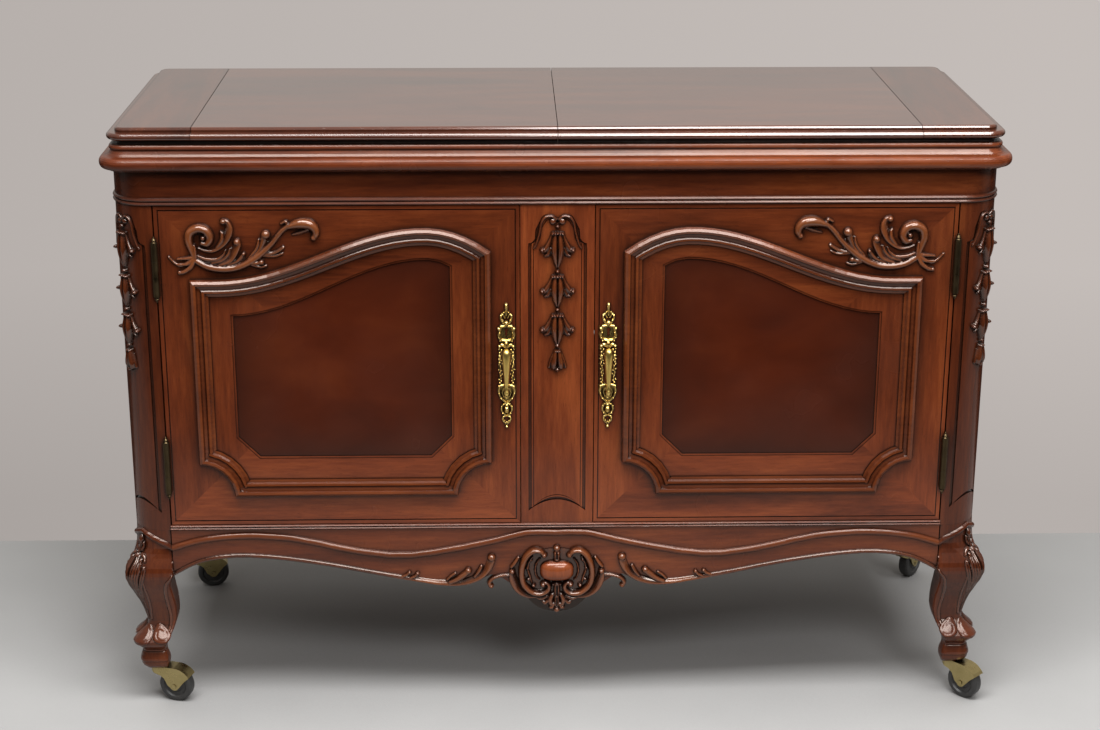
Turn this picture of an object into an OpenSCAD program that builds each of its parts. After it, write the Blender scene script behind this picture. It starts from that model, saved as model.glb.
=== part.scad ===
// Radio phonograph console: a carved cabinet on cabriole legs with casters. Two lids open
// the record changer well and the radio well, and two doors open the speaker and record bays.
// Millimetres, +Z up. X is across the front, the doors face -Y, and the floor is at z = 0.

/* [Case] */
// Width of the case between its side faces
case_w = 1230; // [1180:1:1290]
// Depth of the case from its front face to its back face
case_d = 440; // [430:1:500]
// Radius of the rounded front corners
corner_r = 50; // [36:1:54]
// Height of the case floor, where the door opening starts
floor_z = 287; // [275:1:300]
// Height of the door opening
opening_h = 475; // [465:1:500]
// Height of the twin bead over the doors
bead_band_h = 12; // [9:1:14]
// Height of the plain frieze under the cornice
frieze_h = 37; // [30:1:48]
// Width of a corner post on the front face
post_w = 57; // [56:1:64]
// Width of the stile between the doors
stile_w = 103; // [90:1:120]
// Thickness of the doors, posts and front rails
front_t = 20; // [18:1:24]
// Thickness of the side panels and inner boards
board_t = 19; // [15:1:22]
// Thickness of the case floor
floor_t = 18; // [15:1:20]
// Thickness of the hardboard back
back_t = 6; // [4:1:8]

/* [Top] */
// Distance that the top surface is set in from the case sides
top_inset = 14; // [10:1:16]
// Distance that the top surface is set in from the case front and back
top_inset_d = 6.5; // [5:0.5:9]
// Corner radius of the top surface
top_r = 10; // [9.5:0.5:16]
// Thickness of the lids and fixed ends
lid_t = 22; // [20:1:26]
// Height of the cornice moulding
cornice_h = 36.6; // [36:0.2:42]
// Distance from the middle of the top to the seam of each fixed end
end_seam_x = 499; // [470:1:520]
// Width of the seams round the lids
seam = 1; // [0.6:0.1:2]

/* [Doors] */
// Gap between the doors and the case
door_gap = 0.9; // [0.6:0.1:1.5]
// Gap between a door's free edge and the centre stile
free_gap = 1.3; // [1.2:0.1:2]
// Width of the applied door moulding
mould_w = 25; // [20:1:28]
// Margin from the door's edge to its moulding at the hinge side and the pull side
mould_margin = 45; // [38:1:55]
// Distance from the door's bottom edge to the moulding
mould_bottom = 45; // [36:1:52]
// Radius of the concave bottom corners of the moulding
notch_r = 49; // [36:1:52]
// Distance from the door's top edge down to the moulding's crest
crest_drop = 31; // [26:1:44]
// Height of the moulding's crest over its low end
ogee_rise = 73; // [50:1:80]
// Distance from the moulding's outer edge to the sunk panel
field_margin = 54; // [46:1:60]
// Barrel radius of the door hinges
barrel_r = 4.5; // [4:0.25:5]
// Length of a door hinge's barrel between its finials
barrel_l = 78; // [60:1:90]
// Height of a door pull's backplate
pull_h = 188; // [150:1:200]
// Distance from a door's free edge to the middle of its pull
pull_x = 19; // [17:1:26]
// Reach of a door pull in front of the door
pull_reach = 27; // [24:1:34]

/* [Base] */
// Thickness of the aprons
apron_t = 22; // [18:1:24]
// Height of the apron's top edge under the case floor
apron_drop = 8; // [7:1:10]
// Depth of the front apron at its crests
apron_h = 44; // [36:1:52]
// Radius of the round bead along the aprons
apron_bead_r = 4.6; // [3.5:0.1:5.5]
// Height of the feet's undersides over the floor
foot_z = 55; // [54.8:0.1:62]
// Distance from the case's corner faces to a caster's swivel axis
foot_in = 23; // [20:1:26]
// Radius of a caster wheel
wheel_r = 25.4; // [22:0.2:25.6]
// Width of a caster wheel
wheel_w = 17; // [14:1:20]
// Trail from a caster's swivel axis to its axle
trail = 28; // [25:1:32]
// Directions in which the four casters trail: front left, front right, rear left, rear right
trail_dir = [-17, -46, 8, 50];

/* [Changer] */
// Depth from the lids' underside to the changer's motor board
changer_well = 108; // [104:1:120]
// Distance from the case's middle to the spindle
spindle_x = 280; // [270:1:290]
// Radius of the record spindle
spindle_r = 3.6; // [3.4:0.05:3.7]
// Height of the spindle over the motor board
spindle_h = 95; // [80:1:104]
// Radius of the platter
platter_r = 127; // [110:1:130]
// Distances from the spindle to the arm's pivot, across and back
arm_off = [196, 105];

/* [Radio] */
// Depth from the lids' underside to the radio panel
radio_well = 66; // [58:1:74]
// Height of the space for the chassis under the radio panel
chassis_space = 146; // [142:1:160]
// Length of the dial
dial_l = 300; // [240:1:320]
// Radius of the control knobs
knob_r = 18; // [14:1:20]
// Distance from the speaker's middle to the case floor
speaker_z = 215; // [190:1:240]
// Radius of the speaker's opening
speaker_r = 140; // [110:1:150]
// Number of dividers in the record bay
dividers = 3; // [2:1:5]

/* [Hidden] */
$fn = 48;

mahogany = [0.36, 0.13, 0.07];
inner_wood = [0.55, 0.36, 0.22];
brass_tone = [0.78, 0.62, 0.28];
old_brass = [0.36, 0.29, 0.18];
rubber_tone = [0.07, 0.07, 0.07];
enamel = [0.30, 0.24, 0.18];
steel_tone = [0.62, 0.62, 0.60];

// A joint line between glued boards, a push fit and a running fit
joint = 0.3;
run = 0.05;

// Planes of the case
front_y = -case_d / 2;
back_y = front_y + case_d;
half_w = case_w / 2;
inner_w = half_w - board_t;
bay_front = front_y + front_t;
rear_rail_t = front_t;
bay_back = back_y - rear_rail_t;
apron_top = floor_z - apron_drop;
opening_top = floor_z + opening_h;
frieze_z = opening_top + bead_band_h;
cornice_z = frieze_z + frieze_h;
lid_z = cornice_z + cornice_h + 0.4;
top_z = lid_z + lid_t;
post_x = half_w - post_w;

// The boards in the case, as heights over the case floor
deck_t = 12;
shelf_t = 12;
deck_z = lid_z - changer_well - deck_t - floor_z;
panel_z = lid_z - radio_well - deck_t - floor_z;
bay_h = panel_z - chassis_space - shelf_t;

// The top surface's outline, which the lid edges and the cornice follow
top_w2 = half_w - top_inset;
top_yf = front_y + top_inset_d;
top_yb = back_y - top_inset_d;

// Doors
door_x0 = stile_w / 2 + free_gap;
door_x1 = post_x - 2;
door_z0 = floor_z + door_gap;
door_z1 = opening_top - door_gap;
hinge_x = post_x - 1;
hinge_y = front_y - barrel_r - 0.1;
hinge_zs = [floor_z + 0.19 * opening_h, floor_z + 0.81 * opening_h];

// Lid hinges, behind the case in the lids' underside plane
lid_pin_r = 3.2;
lid_axis_y = back_y + lid_pin_r + 0.2;
lid_axis_z = lid_z;
ledge = 8;
lid_hinge_l = 60;
lid_hinge_xs = [95, 400];

function unit(v) = v / norm(v);
function backwards(v) = [for (i = [len(v) - 1 : -1 : 0]) v[i]];
// Catmull-Rom curve through b and c
function blend4(a, b, c, d, t) =
    b + 0.5 * t * (c - a + t * (2 * a - 5 * b + 4 * c - d + t * (3 * (b - c) + d - a)));
// A table of rows made finer by n steps between rows
function finer(tab, n) = let(m = len(tab) - 1) concat(
    [for (i = [0 : m - 1], k = [0 : n - 1])
        blend4(tab[max(i - 1, 0)], tab[i], tab[i + 1], tab[min(i + 2, m)], k / n)],
    [tab[m]]);
function arc(c, r, a0, a1, n) = [for (k = [0 : n]) c + r * [cos(a0 + (a1 - a0) * k / n), sin(a0 + (a1 - a0) * k / n)]];
// The ogee of the doors: a short fall to the pull side of the crest, a long one to the hinge side
function ogee(x, x0, drop0, xp, zp, xf, fall) =
    x < xp ? zp - drop0 * pow((xp - x) / (xp - x0), 2)
    : x < xf ? zp - fall * (1 - cos(180 * (x - xp) / (xf - xp))) / 2 : zp - fall;

// Faces of a tube of n rings with m points each, closed round or with flat ends
function tube_faces(n, m, closed) = concat(
    [for (i = [0 : n - (closed ? 1 : 2)], j = [0 : m - 1], s = [0, 1])
        let(i2 = (i + 1) % n, j2 = (j + 1) % m)
        s == 0 ? [i * m + j, i2 * m + j, i2 * m + j2] : [i * m + j, i2 * m + j2, i * m + j2]],
    closed ? [] : [[for (j = [0 : m - 1]) j], [for (j = [m - 1 : -1 : 0]) (n - 1) * m + j]]);

module tube(rings, closed = false) {
    polyhedron([for (r = rings) each r], tube_faces(len(rings), len(rings[0]), closed));
}

// A box from one corner to the other
module box(a, b) {
    translate([min(a[0], b[0]), min(a[1], b[1]), min(a[2], b[2])])
        cube([abs(b[0] - a[0]), abs(b[1] - a[1]), abs(b[2] - a[2])]);
}

// An outline in x and z, drawn from the plane y = y0 back to y0 + t
module plate(pts, y0, t) {
    translate([0, y0 + t, 0]) rotate([90, 0, 0]) linear_extrude(t) polygon(pts);
}

// A profile in outward distance and height, run round a rounded rectangle
module run_straight(prof, x0, x1, y, out) {
    translate([x0, y, 0]) rotate([90, 0, 90])
        linear_extrude(x1 - x0) polygon([for (p = prof) [out * p[0], p[1]]]);
}
module run_side(prof, y0, y1, x, out) {
    translate([x, y1, 0]) rotate([90, 0, 0])
        linear_extrude(y1 - y0) polygon([for (p = prof) [out * p[0], p[1]]]);
}
module run_corner(prof, x, y, r, from) {
    translate([x, y, 0]) rotate([0, 0, from])
        rotate_extrude(angle = 90) polygon([for (p = prof) [r + p[0], p[1]]]);
}
module run_round(prof, w2, yf, yb, r, rear = true) {
    y_end = rear ? yb - r : yb;
    run_straight(prof, -(w2 - r), w2 - r, yf, -1);
    for (sx = [-1, 1]) run_side(prof, yf + r, y_end, sx * w2, sx);
    run_corner(prof, w2 - r, yf + r, r, -90);
    run_corner(prof, -(w2 - r), yf + r, r, 180);
    if (rear) {
        run_straight(prof, -(w2 - r), w2 - r, yb, 1);
        run_corner(prof, w2 - r, yb - r, r, 0);
        run_corner(prof, -(w2 - r), yb - r, r, 90);
    }
}

// A half-round bead along points p on a face whose outward directions are n, cut plumb at its ends
module bead(p, n, r) {
    m = len(p) - 1;
    tube([for (i = [0 : m])
        let(d = p[min(i + 1, m)] - p[max(i - 1, 0)],
            t = unit(i == 0 || i == m ? [d[0], d[1], 0] : d), b = cross(t, n[i]))
        [for (k = [6 : -1 : 0]) let(a = -25 + 38.4 * k) p[i] + r * (cos(a) * b + sin(a) * n[i])]]);
}

// ---- Case ----

module post_plan() {
    intersection() {
        translate([half_w - corner_r, front_y + corner_r]) circle(corner_r, $fn = 96);
        translate([half_w - corner_r, front_y]) square(corner_r);
    }
    translate([post_x, front_y]) square([half_w - corner_r - post_x, post_w]);
    translate([post_x, front_y + corner_r]) square([post_w, post_w - corner_r]);
}

module side_panels() {
    color(mahogany) for (sx = [-1, 1])
        box([sx * inner_w, front_y + post_w, apron_top], [sx * half_w, back_y, opening_top]);
}

vent_rows = 3;
vent_cols = 9;
vent_pitch = [62, 70];
module back_panel() {
    vent_l = 46;
    vent_h = 8;
    color(inner_wood) difference() {
        box([-inner_w + joint, back_y - back_t, floor_z + joint],
            [inner_w - joint, back_y, frieze_z - joint]);
        for (sx = [-1, 1], r = [0 : vent_rows - 1], c = [0 : vent_cols - 1])
            translate([sx * inner_w / 2 + (c - (vent_cols - 1) / 2) * vent_pitch[0] - vent_l / 2,
                       back_y - back_t - 1, speaker_z + floor_z + (r - 1) * vent_pitch[1]])
                cube([vent_l, back_t + 2, vent_h]);
    }
}

lip_out = 3;
module case_floor() {
    color(mahogany) {
        // the lower part lies between the legs and the aprons
        box([-post_x + joint, front_y + apron_t + joint, floor_z - floor_t],
            [post_x - joint, back_y - apron_t - joint, apron_top + joint]);
        box([-half_w + apron_t + joint, front_y + post_w + joint, floor_z - floor_t],
            [half_w - apron_t - joint, back_y - post_w - joint, apron_top + joint]);
        box([-inner_w + joint, bay_front, apron_top + joint], [inner_w - joint, back_y, floor_z]);
        translate([0, 0, floor_z - apron_drop])
            run_straight([[-front_t, 0.3], [0, 0.3], [lip_out * 0.6, 0.8], [lip_out, 2.2], [lip_out * 0.6, 3.6],
                          [0.8, 4.2], [lip_out * 0.6, 4.8], [lip_out, 6.0], [lip_out * 0.6, 7.4],
                          [0, apron_drop], [-front_t, apron_drop]],
                         -post_x + joint, post_x - joint, front_y, -1);
    }
}

module centre_partition() {
    color(inner_wood) translate([-board_t / 2, 0, 0]) rotate([90, 0, 90]) linear_extrude(board_t)
        polygon([[bay_front + joint, floor_z + joint], [back_y - back_t - joint, floor_z + joint],
                 [back_y - back_t - joint, opening_top - joint], [bay_back - joint, opening_top - joint],
                 [bay_back - joint, lid_z - joint], [bay_front + joint, lid_z - joint]]);
}

// Half outline of a sunk panel: twin lobes at the top, shoulders, a bowed foot. Half width w, w_top at the lobes
function panel_half(w, w_top, g) =
    let(wi = w - g, wt = w_top - g, zb = floor_z + 19 + g, zs = opening_top - 61, zt = opening_top - 14 - g)
    concat(
        [[0, zt - 8]],
        arc([wt * 0.42, zt - wt * 0.38], wt * 0.38, 150, 45, 6),
        arc([wt - 12, zs + 22], 12, 35, 0, 3),
        arc([wi + 1, zs + 16], wi + 1 - wt, 200, 262, 4),
        [[wi, zs - 4], [wi, zb]],
        [for (k = [1 : 7]) let(x = wi * (1 - k / 7)) [x, zb + 17 * (1 - pow(x / wi, 2))]]);
function panel_outline(w, w_top, g) = let(h = panel_half(w, w_top, g), n = len(h))
    concat(h, [for (i = [n - 2 : -1 : 1]) [-h[i][0], h[i][1]]]);

groove_w = 4.6;
groove_d = 2.6;
module panel_groove(w, w_top, g0, g1, depth) {
    difference() {
        plate(panel_outline(w, w_top, g0), front_y - 1, depth + 1);
        plate(panel_outline(w, w_top, g1), front_y - 2, depth + 4);
    }
}
module centre_stile() {
    color(mahogany) difference() {
        box([-stile_w / 2, front_y, floor_z], [stile_w / 2, bay_front, opening_top]);
        panel_groove(41, 31, 0, groove_w, groove_d);
        // a fine second groove leaves a bead inside the first
        panel_groove(41, 31, groove_w + 2.4, groove_w + 3.4, 1.1);
    }
}

// A point and the outward direction on the post's face, at distance s round it from the middle of the corner
corner_arc = corner_r * PI / 4;
function post_face(s) =
    let(a = -45 + min(max(s, -corner_arc), corner_arc) / corner_r * 180 / PI, e = abs(s) - corner_arc,
        c = [half_w - corner_r, front_y + corner_r])
    [c + corner_r * [cos(a), sin(a)] + (e > 0 ? (s < 0 ? [-e, 0] : [0, e]) : [0, 0]), [cos(a), sin(a)]];
post_panel_w = 34.5;
post_panel_top = 24;
module wrapped_groove(g0, g1, depth) {
    a = panel_outline(post_panel_w, post_panel_top, g0);
    b = panel_outline(post_panel_w, post_panel_top, g1);
    function at(q, d) = let(f = post_face(q[0]), p = f[0] + d * f[1]) [p[0], p[1], q[1]];
    tube([for (i = [0 : len(a) - 1]) [at(a[i], 1), at(b[i], 1), at(b[i], -depth), at(a[i], -depth)]], true);
}
module corner_post() {
    difference() {
        translate([0, 0, apron_top]) linear_extrude(opening_top - apron_top) difference() {
            post_plan();
            translate([post_x - 1, bay_front]) square([inner_w - post_x + 1, post_w]);
        }
        wrapped_groove(0, groove_w, groove_d);
    }
}
module corner_posts() {
    color(mahogany) for (sx = [0, 1]) mirror([sx, 0, 0]) corner_post();
}

module case_outline(inset, y_end) {
    r = corner_r - inset;
    w2 = half_w - inset;
    y0 = front_y + inset;
    for (sx = [-1, 1]) translate([sx * (w2 - r), y0 + r]) circle(r, $fn = 96);
    translate([-(w2 - r), y0]) square([2 * (w2 - r), r]);
    translate([-w2, y0 + r]) square([2 * w2, y_end - y0 - r]);
}

// A twin bead with a quirk between, in a band of height h
function twin_bead(h, back, out) = [
    [-back, 0], [0, 0], [out * 0.7, h * 0.06], [out, h * 0.2], [out * 0.7, h * 0.36], [out * 0.2, h * 0.44],
    [out * 0.7, h * 0.52], [out, h * 0.66], [out * 0.7, h * 0.84], [0.2, h * 0.92], [0.2, h], [-back, h]];

module top_rails() {
    color(mahogany) {
        difference() {
            union() {
                translate([0, 0, frieze_z]) linear_extrude(frieze_h) case_outline(0, back_y);
                translate([0, 0, opening_top])
                    run_round(twin_bead(bead_band_h, board_t, 3), half_w, front_y, back_y, corner_r, false);
            }
            box([-inner_w, front_y + board_t, opening_top - 1], [inner_w, back_y + 1, cornice_z + 1]);
        }
        box([-inner_w, bay_back, frieze_z], [inner_w, back_y, cornice_z]);
    }
}

// The cornice: a small bead on top, a hollow, and the bold round that stands furthest out
function cornice_profile() = let(h = cornice_h) concat(
    [[-ledge, 0], [14, 0], [16, 1.2]],
    [for (a = [-70 : 20 : 90]) [21 + 6 * cos(a), 11.5 + 8.3 * sin(a)]],
    [[17.5, h - 16.4], [15.2, h - 15.4], [12.5, h - 12.5], [11, h - 9.5]],
    [for (a = [-60 : 30 : 90]) [8.5 + 4 * cos(a), h - 4.2 + 4.2 * sin(a)]],
    [[-ledge, h]]);

leaf_t = 1.4;
leaf_y = top_yb - ledge + 1;
module leaf_seats(z) {
    for (sx = [-1, 1], x = lid_hinge_xs)
        box([sx * x - lid_hinge_l / 2 - joint, leaf_y - joint, z],
            [sx * x + lid_hinge_l / 2 + joint, lid_axis_y + lid_pin_r, z + leaf_t + joint]);
}

module cornice() {
    color(mahogany) difference() {
        union() {
            translate([0, 0, cornice_z]) run_round(cornice_profile(), top_w2, top_yf, back_y, top_r, false);
            box([-top_w2, top_yb - ledge, cornice_z], [top_w2, back_y, cornice_z + cornice_h]);
        }
        leaf_seats(lid_axis_z - leaf_t - joint - 0.4);
    }
}

// The lid edge: a slight round, a step, a bold round and a hollow under it
function lid_edge() = let(t = lid_t) concat(
    [[2, 0], [2, t - 17]],
    [for (a = [-78 : 22 : 76]) [10 + 5 * cos(a), t - 11.4 + 4.8 * sin(a)]],
    [[3.4, t - 6.2], [3.4, t - 3.2], [2.4, t - 1], [0, t]]);

end_board_t = 12;
module fixed_top_ends() {
    edge = concat([[-9.4, lid_t], [-9.4, 0]], lid_edge());
    color(mahogany) for (sx = [0, 1]) mirror([sx, 0, 0]) {
        x0 = end_seam_x + seam / 2;
        translate([0, 0, lid_z]) {
            for (front = [0, 1]) {
                y = front == 1 ? top_yf : top_yb;
                run_straight(edge, x0, top_w2 - top_r, y, front == 1 ? -1 : 1);
            }
            run_side(edge, top_yf + top_r, top_yb - top_r, top_w2, 1);
            run_corner(edge, top_w2 - top_r, top_yf + top_r, top_r, -90);
            run_corner(edge, top_w2 - top_r, top_yb - top_r, top_r, 0);
            box([x0, top_yf + 9, 0], [top_w2 - 9, top_yb - 9, lid_t]);
        }
        box([x0, bay_front + joint, floor_z + (sx == 1 ? deck_z : panel_z) + deck_t],
            [x0 + end_board_t, bay_back - joint, lid_z + 1]);
    }
}

module lid(sx) {
    outline = concat(
        [for (p = lid_edge()) [top_yf - p[0], p[1]]],
        [for (i = [len(lid_edge()) - 1 : -1 : 0]) let(p = lid_edge()[i]) [top_yb + p[0], p[1]]]);
    x0 = sx < 0 ? -(end_seam_x - seam / 2) : seam / 2;
    difference() {
        translate([x0, 0, lid_z]) rotate([90, 0, 90])
            linear_extrude(end_seam_x - seam) polygon(outline);
        leaf_seats(lid_axis_z);
    }
}
module left_lid() { color(mahogany) lid(-1); }
module right_lid() { color(mahogany) lid(1); }

// Each lid hinge has five knuckles: the outer and middle ones stay on the case
knuckle = lid_hinge_l / 5;
module lid_leaf(x, fixed) {
    z = fixed ? lid_axis_z - leaf_t - 0.4 : lid_axis_z + joint;
    ks = fixed ? [0, 2, 4] : [1, 3];
    difference() {
        union() {
            box([x - lid_hinge_l / 2, leaf_y, z], [x + lid_hinge_l / 2, lid_axis_y - lid_pin_r - 0.4, z + leaf_t]);
            for (k = ks) {
                x0 = x - lid_hinge_l / 2 + k * knuckle + 0.15;
                translate([x0, lid_axis_y, lid_axis_z]) rotate([0, 90, 0]) cylinder(h = knuckle - 0.3, r = lid_pin_r);
                box([x0, lid_axis_y - lid_pin_r - 0.6, z], [x0 + knuckle - 0.3, lid_axis_y - 0.5, z + leaf_t]);
            }
        }
        if (!fixed) translate([x - lid_hinge_l, lid_axis_y, lid_axis_z]) rotate([0, 90, 0])
            cylinder(h = 2 * lid_hinge_l, r = 1.5 + run);
    }
}
module lid_hinge_seats() {
    color(old_brass) for (sx = [-1, 1], x = lid_hinge_xs) {
        lid_leaf(sx * x, true);
        translate([sx * x - lid_hinge_l / 2, lid_axis_y, lid_axis_z]) rotate([0, 90, 0])
            cylinder(h = lid_hinge_l, r = 1.5);
    }
}
module left_lid_leaves() { color(old_brass) for (x = lid_hinge_xs) lid_leaf(-x, false); }
module right_lid_leaves() { color(old_brass) for (x = lid_hinge_xs) lid_leaf(x, false); }

// ---- Doors: drawn for the right side and mirrored for the left ----

mould_x0 = door_x0 + mould_margin - 5;
mould_x1 = door_x1 - mould_margin;
mould_z0 = door_z0 + mould_bottom;
crest_z = door_z1 - crest_drop;
crest_x = mould_x0 + 92;
short_fall = 34;
ogee_end = mould_x1 - 38;

// The moulding's outer edge, from its high corner along the ogee and round to the start
function mould_outline() = concat(
    [for (k = [0 : 22]) let(x = mould_x0 + (ogee_end - mould_x0) * k / 22)
        [x, ogee(x, mould_x0, short_fall, crest_x, crest_z, ogee_end, ogee_rise)]],
    [[mould_x1, crest_z - ogee_rise]],
    arc([mould_x1, mould_z0], notch_r, 90, 180, 7),
    arc([mould_x0, mould_z0], notch_r, 0, 90, 7));

function edge_normal(a, b) = let(d = unit(b - a)) [d[1], -d[0]];
// Points of outline p moved inward by t, with mitred corners
function inward(p, t) = let(n = len(p)) [for (i = [0 : n - 1])
    let(n1 = edge_normal(p[(i + n - 1) % n], p[i]), n2 = edge_normal(p[i], p[(i + 1) % n]))
    p[i] + t * (n1 + n2) / (1 + n1 * n2)];

// Profile of the door moulding: distance in from its outer edge, and height
mould_profile = [[0, 0], [0, 5], [0.07, 8.5], [0.2, 11], [0.33, 10], [0.4, 6.5], [0.56, 5.2],
                 [0.66, 7.2], [0.78, 6.8], [0.86, 3.6], [1, 2.6], [1, 0]];
module door_moulding() {
    rings = [for (q = mould_profile) let(o = inward(mould_outline(), q[0] * mould_w))
        [for (p = o) [p[0], front_y - q[1], p[1]]]];
    n = len(rings[0]);
    tube([for (i = [0 : n - 1]) [for (r = rings) r[i]]], true);
}

field_x0 = mould_x0 + field_margin;
field_x1 = mould_x1 - field_margin;
field_z0 = mould_z0 + field_margin + 2;
field_cut = 32;
field_crest_z = crest_z - 44;
field_crest_x = field_x0 + 36;
function field_outline() = concat(
    [for (k = [0 : 18]) let(x = field_x0 + (field_x1 - field_x0) * k / 18)
        [x, ogee(x, field_x0, 11, field_crest_x, field_crest_z, field_x1, ogee_rise + 8)]],
    [[field_x1, field_z0 + field_cut], [field_x1 - field_cut, field_z0],
     [field_x0 + field_cut, field_z0], [field_x0, field_z0 + field_cut]]);

module door_board() {
    quirk = 1.6;
    quirk_in = 5;
    difference() {
        box([door_x0, front_y, door_z0], [door_x1, bay_front, door_z1]);
        // the sunk field, reached by a small sloped step
        plate(field_outline(), front_y - 1, 1 + 1.4);
        plate(inward(field_outline(), 3), front_y - 1, 1 + 3.0);
        // the quirk that makes a cock bead of the door's edge
        difference() {
            box([door_x0 + quirk_in, front_y - 1, door_z0 + quirk_in], [door_x1 - quirk_in, front_y + quirk, door_z1 - quirk_in]);
            box([door_x0 + quirk_in + quirk, front_y - 2, door_z0 + quirk_in + quirk],
                [door_x1 - quirk_in - quirk, front_y + quirk + 1, door_z1 - quirk_in - quirk]);
        }
    }
}
module left_door() { color(mahogany) mirror([1, 0, 0]) door_board(); }
module right_door() { color(mahogany) door_board(); }
module left_door_moulding() { color(mahogany) mirror([1, 0, 0]) door_moulding(); }
module right_door_moulding() { color(mahogany) door_moulding(); }

// A cast pull: a pierced backplate drawn out to a point at both ends, and a baluster grip
pull_t = 2.4;
grip_l = 78;
function pull_half(f) = let(a = abs(f))
    (1 - pow(a, 2.4)) * 8.8 + 2.4 * (1 - pow(a, 3)) * cos(a * 990) + 1.2;
module pull() {
    cx = door_x0 + pull_x;
    cz = door_z0 + 0.499 * opening_h;
    n = 64;
    edge = [for (k = [0 : n]) let(f = 1 - 2 * k / n) [max(pull_half(f), 0.8), f * pull_h / 2]];
    plate([for (p = concat(edge, [for (k = [n : -1 : 0]) [-edge[k][0], edge[k][1]]])) [cx + p[0], cz + p[1]]],
          front_y - pull_t, pull_t);
    y_grip = front_y - pull_reach + 6.5;
    translate([cx, y_grip, cz - grip_l / 2]) rotate_extrude()
        polygon(concat([[0, 0]], [for (k = [0 : 16]) let(f = k / 16)
            [2.6 + 3.6 * pow(sin(180 * pow(f, 0.75)), 1.6), f * grip_l]], [[0, grip_l]]));
    for (s = [-1, 1]) translate([cx, 0, cz + s * (grip_l / 2 - 3)]) {
        translate([0, front_y - pull_t + 0.5, 0]) rotate([90, 0, 0]) cylinder(h = front_y - y_grip - pull_t + 0.5, r = 2.6);
        translate([0, y_grip, 0]) sphere(4.2);
    }
}
module left_pull() { color(brass_tone) mirror([1, 0, 0]) pull(); }
module right_pull() { color(brass_tone) pull(); }

// Door hinges: the middle knuckle swings, the outer two hold the pin and its finials
hinge_pin_r = 2;
moving_k = [0.34, 0.66];
module barrel(z, f0, f1, hole) {
    translate([hinge_x, hinge_y, z + (f0 - 0.5) * barrel_l]) difference() {
        cylinder(h = (f1 - f0) * barrel_l, r = barrel_r);
        if (hole) translate([0, 0, -1]) cylinder(h = barrel_l, r = hinge_pin_r + run);
    }
}
module hinge_leaf(z, f0, f1, x_to) {
    y1 = hinge_y + barrel_r * 0.6;
    difference() {
        union() {
            box([x_to > hinge_x ? hinge_x + 0.1 : door_x1, y1 - 1.4, z + (f0 - 0.5) * barrel_l],
                [x_to > hinge_x ? post_x : hinge_x - 0.1, front_y + front_t - 4, z + (f1 - 0.5) * barrel_l]);
        }
        translate([hinge_x, hinge_y, z - barrel_l]) cylinder(h = 2 * barrel_l, r = hinge_pin_r + 0.4);
    }
}
module door_leaves() {
    for (z = hinge_zs) {
        barrel(z, moving_k[0] + 0.004, moving_k[1] - 0.004, true);
        hinge_leaf(z, moving_k[0] + 0.004, moving_k[1] - 0.004, 0);
    }
}
module hinge_post() {
    for (z = hinge_zs) {
        for (k = [[0, moving_k[0]], [moving_k[1], 1]]) {
            barrel(z, k[0], k[1], false);
            hinge_leaf(z, k[0], k[1], half_w);
        }
        translate([hinge_x, hinge_y, z - barrel_l / 2]) cylinder(h = barrel_l, r = hinge_pin_r);
        for (s = [-1, 1]) translate([hinge_x, hinge_y, z + s * barrel_l / 2]) mirror([0, 0, s < 0 ? 1 : 0])
            rotate_extrude() polygon([[0, 0], [3.6, 0], [2, 1.6], [3.2, 3.2], [2.2, 5], [1.2, 6.2], [0.8, 8.2], [0, 9]]);
    }
}
module left_door_leaves() { color(old_brass) mirror([1, 0, 0]) door_leaves(); }
module right_door_leaves() { color(old_brass) door_leaves(); }
module door_hinge_posts() { color(old_brass) for (sx = [0, 1]) mirror([sx, 0, 0]) hinge_post(); }

// Rim lock on the back of the left door; its bolt goes behind the centre stile
lock_size = [38, 12, 50];
lock_z = door_z0 + 0.61 * opening_h;
bolt_size = [26, 4, 10];
bolt_throw = 10;
lock_x = -door_x0 - 1.2;
bolt_y = bay_front + 2;
module lock_case() {
    color(old_brass) difference() {
        box([lock_x - lock_size[0], bay_front, lock_z - lock_size[2] / 2],
            [lock_x, bay_front + lock_size[1], lock_z + lock_size[2] / 2]);
        box([lock_x - bolt_size[0] - 0.2, bolt_y - 0.15, lock_z - bolt_size[2] / 2 - 0.15],
            [lock_x + 1, bolt_y + bolt_size[1] + 0.15, lock_z + bolt_size[2] / 2 + 0.15]);
    }
}
module lock_bolt() {
    color(steel_tone) box([lock_x - bolt_size[0], bolt_y, lock_z - bolt_size[2] / 2],
                          [lock_x, bolt_y + bolt_size[1], lock_z + bolt_size[2] / 2]);
}

// ---- Base ----

apron_l = post_x - joint;
// Height of the bead along the front, from the middle (f = 0) to the leg (f = 1)
bead_keys = [[0, -7], [0.08, -7.5], [0.2, -24], [0.38, -41], [0.52, -34], [0.68, -14], [0.82, -9], [0.93, -16], [1, -27.5]];
// Height of the lower edge in the same way, left of the lobe under the cartouche
edge_keys = [[0, -134], [0.05, -126], [0.1, -98], [0.16, -74], [0.2, -80], [0.29, -87.5], [0.42, -78],
             [0.6, -58], [0.74, -46.5], [0.84, -44], [0.93, -52], [1, -72]];
function side_points(keys, n, sx) = [for (q = finer(keys, n)) [sx * q[0] * apron_l, apron_top + q[1]]];
function both_sides(keys, n) = let(r = side_points(keys, n, 1), m = len(r) - 1)
    concat([for (i = [m : -1 : 1]) [-r[i][0], r[i][1]]], r);

module front_apron() {
    beads = both_sides(bead_keys, 3);
    color(mahogany) {
        plate(concat([[apron_l, apron_top], [-apron_l, apron_top]], both_sides(edge_keys, 3)), front_y, apron_t);
        bead([for (p = beads) [p[0], front_y, p[1]]], [for (p = beads) [0, -1, 0]], apron_bead_r);
    }
}

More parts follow.
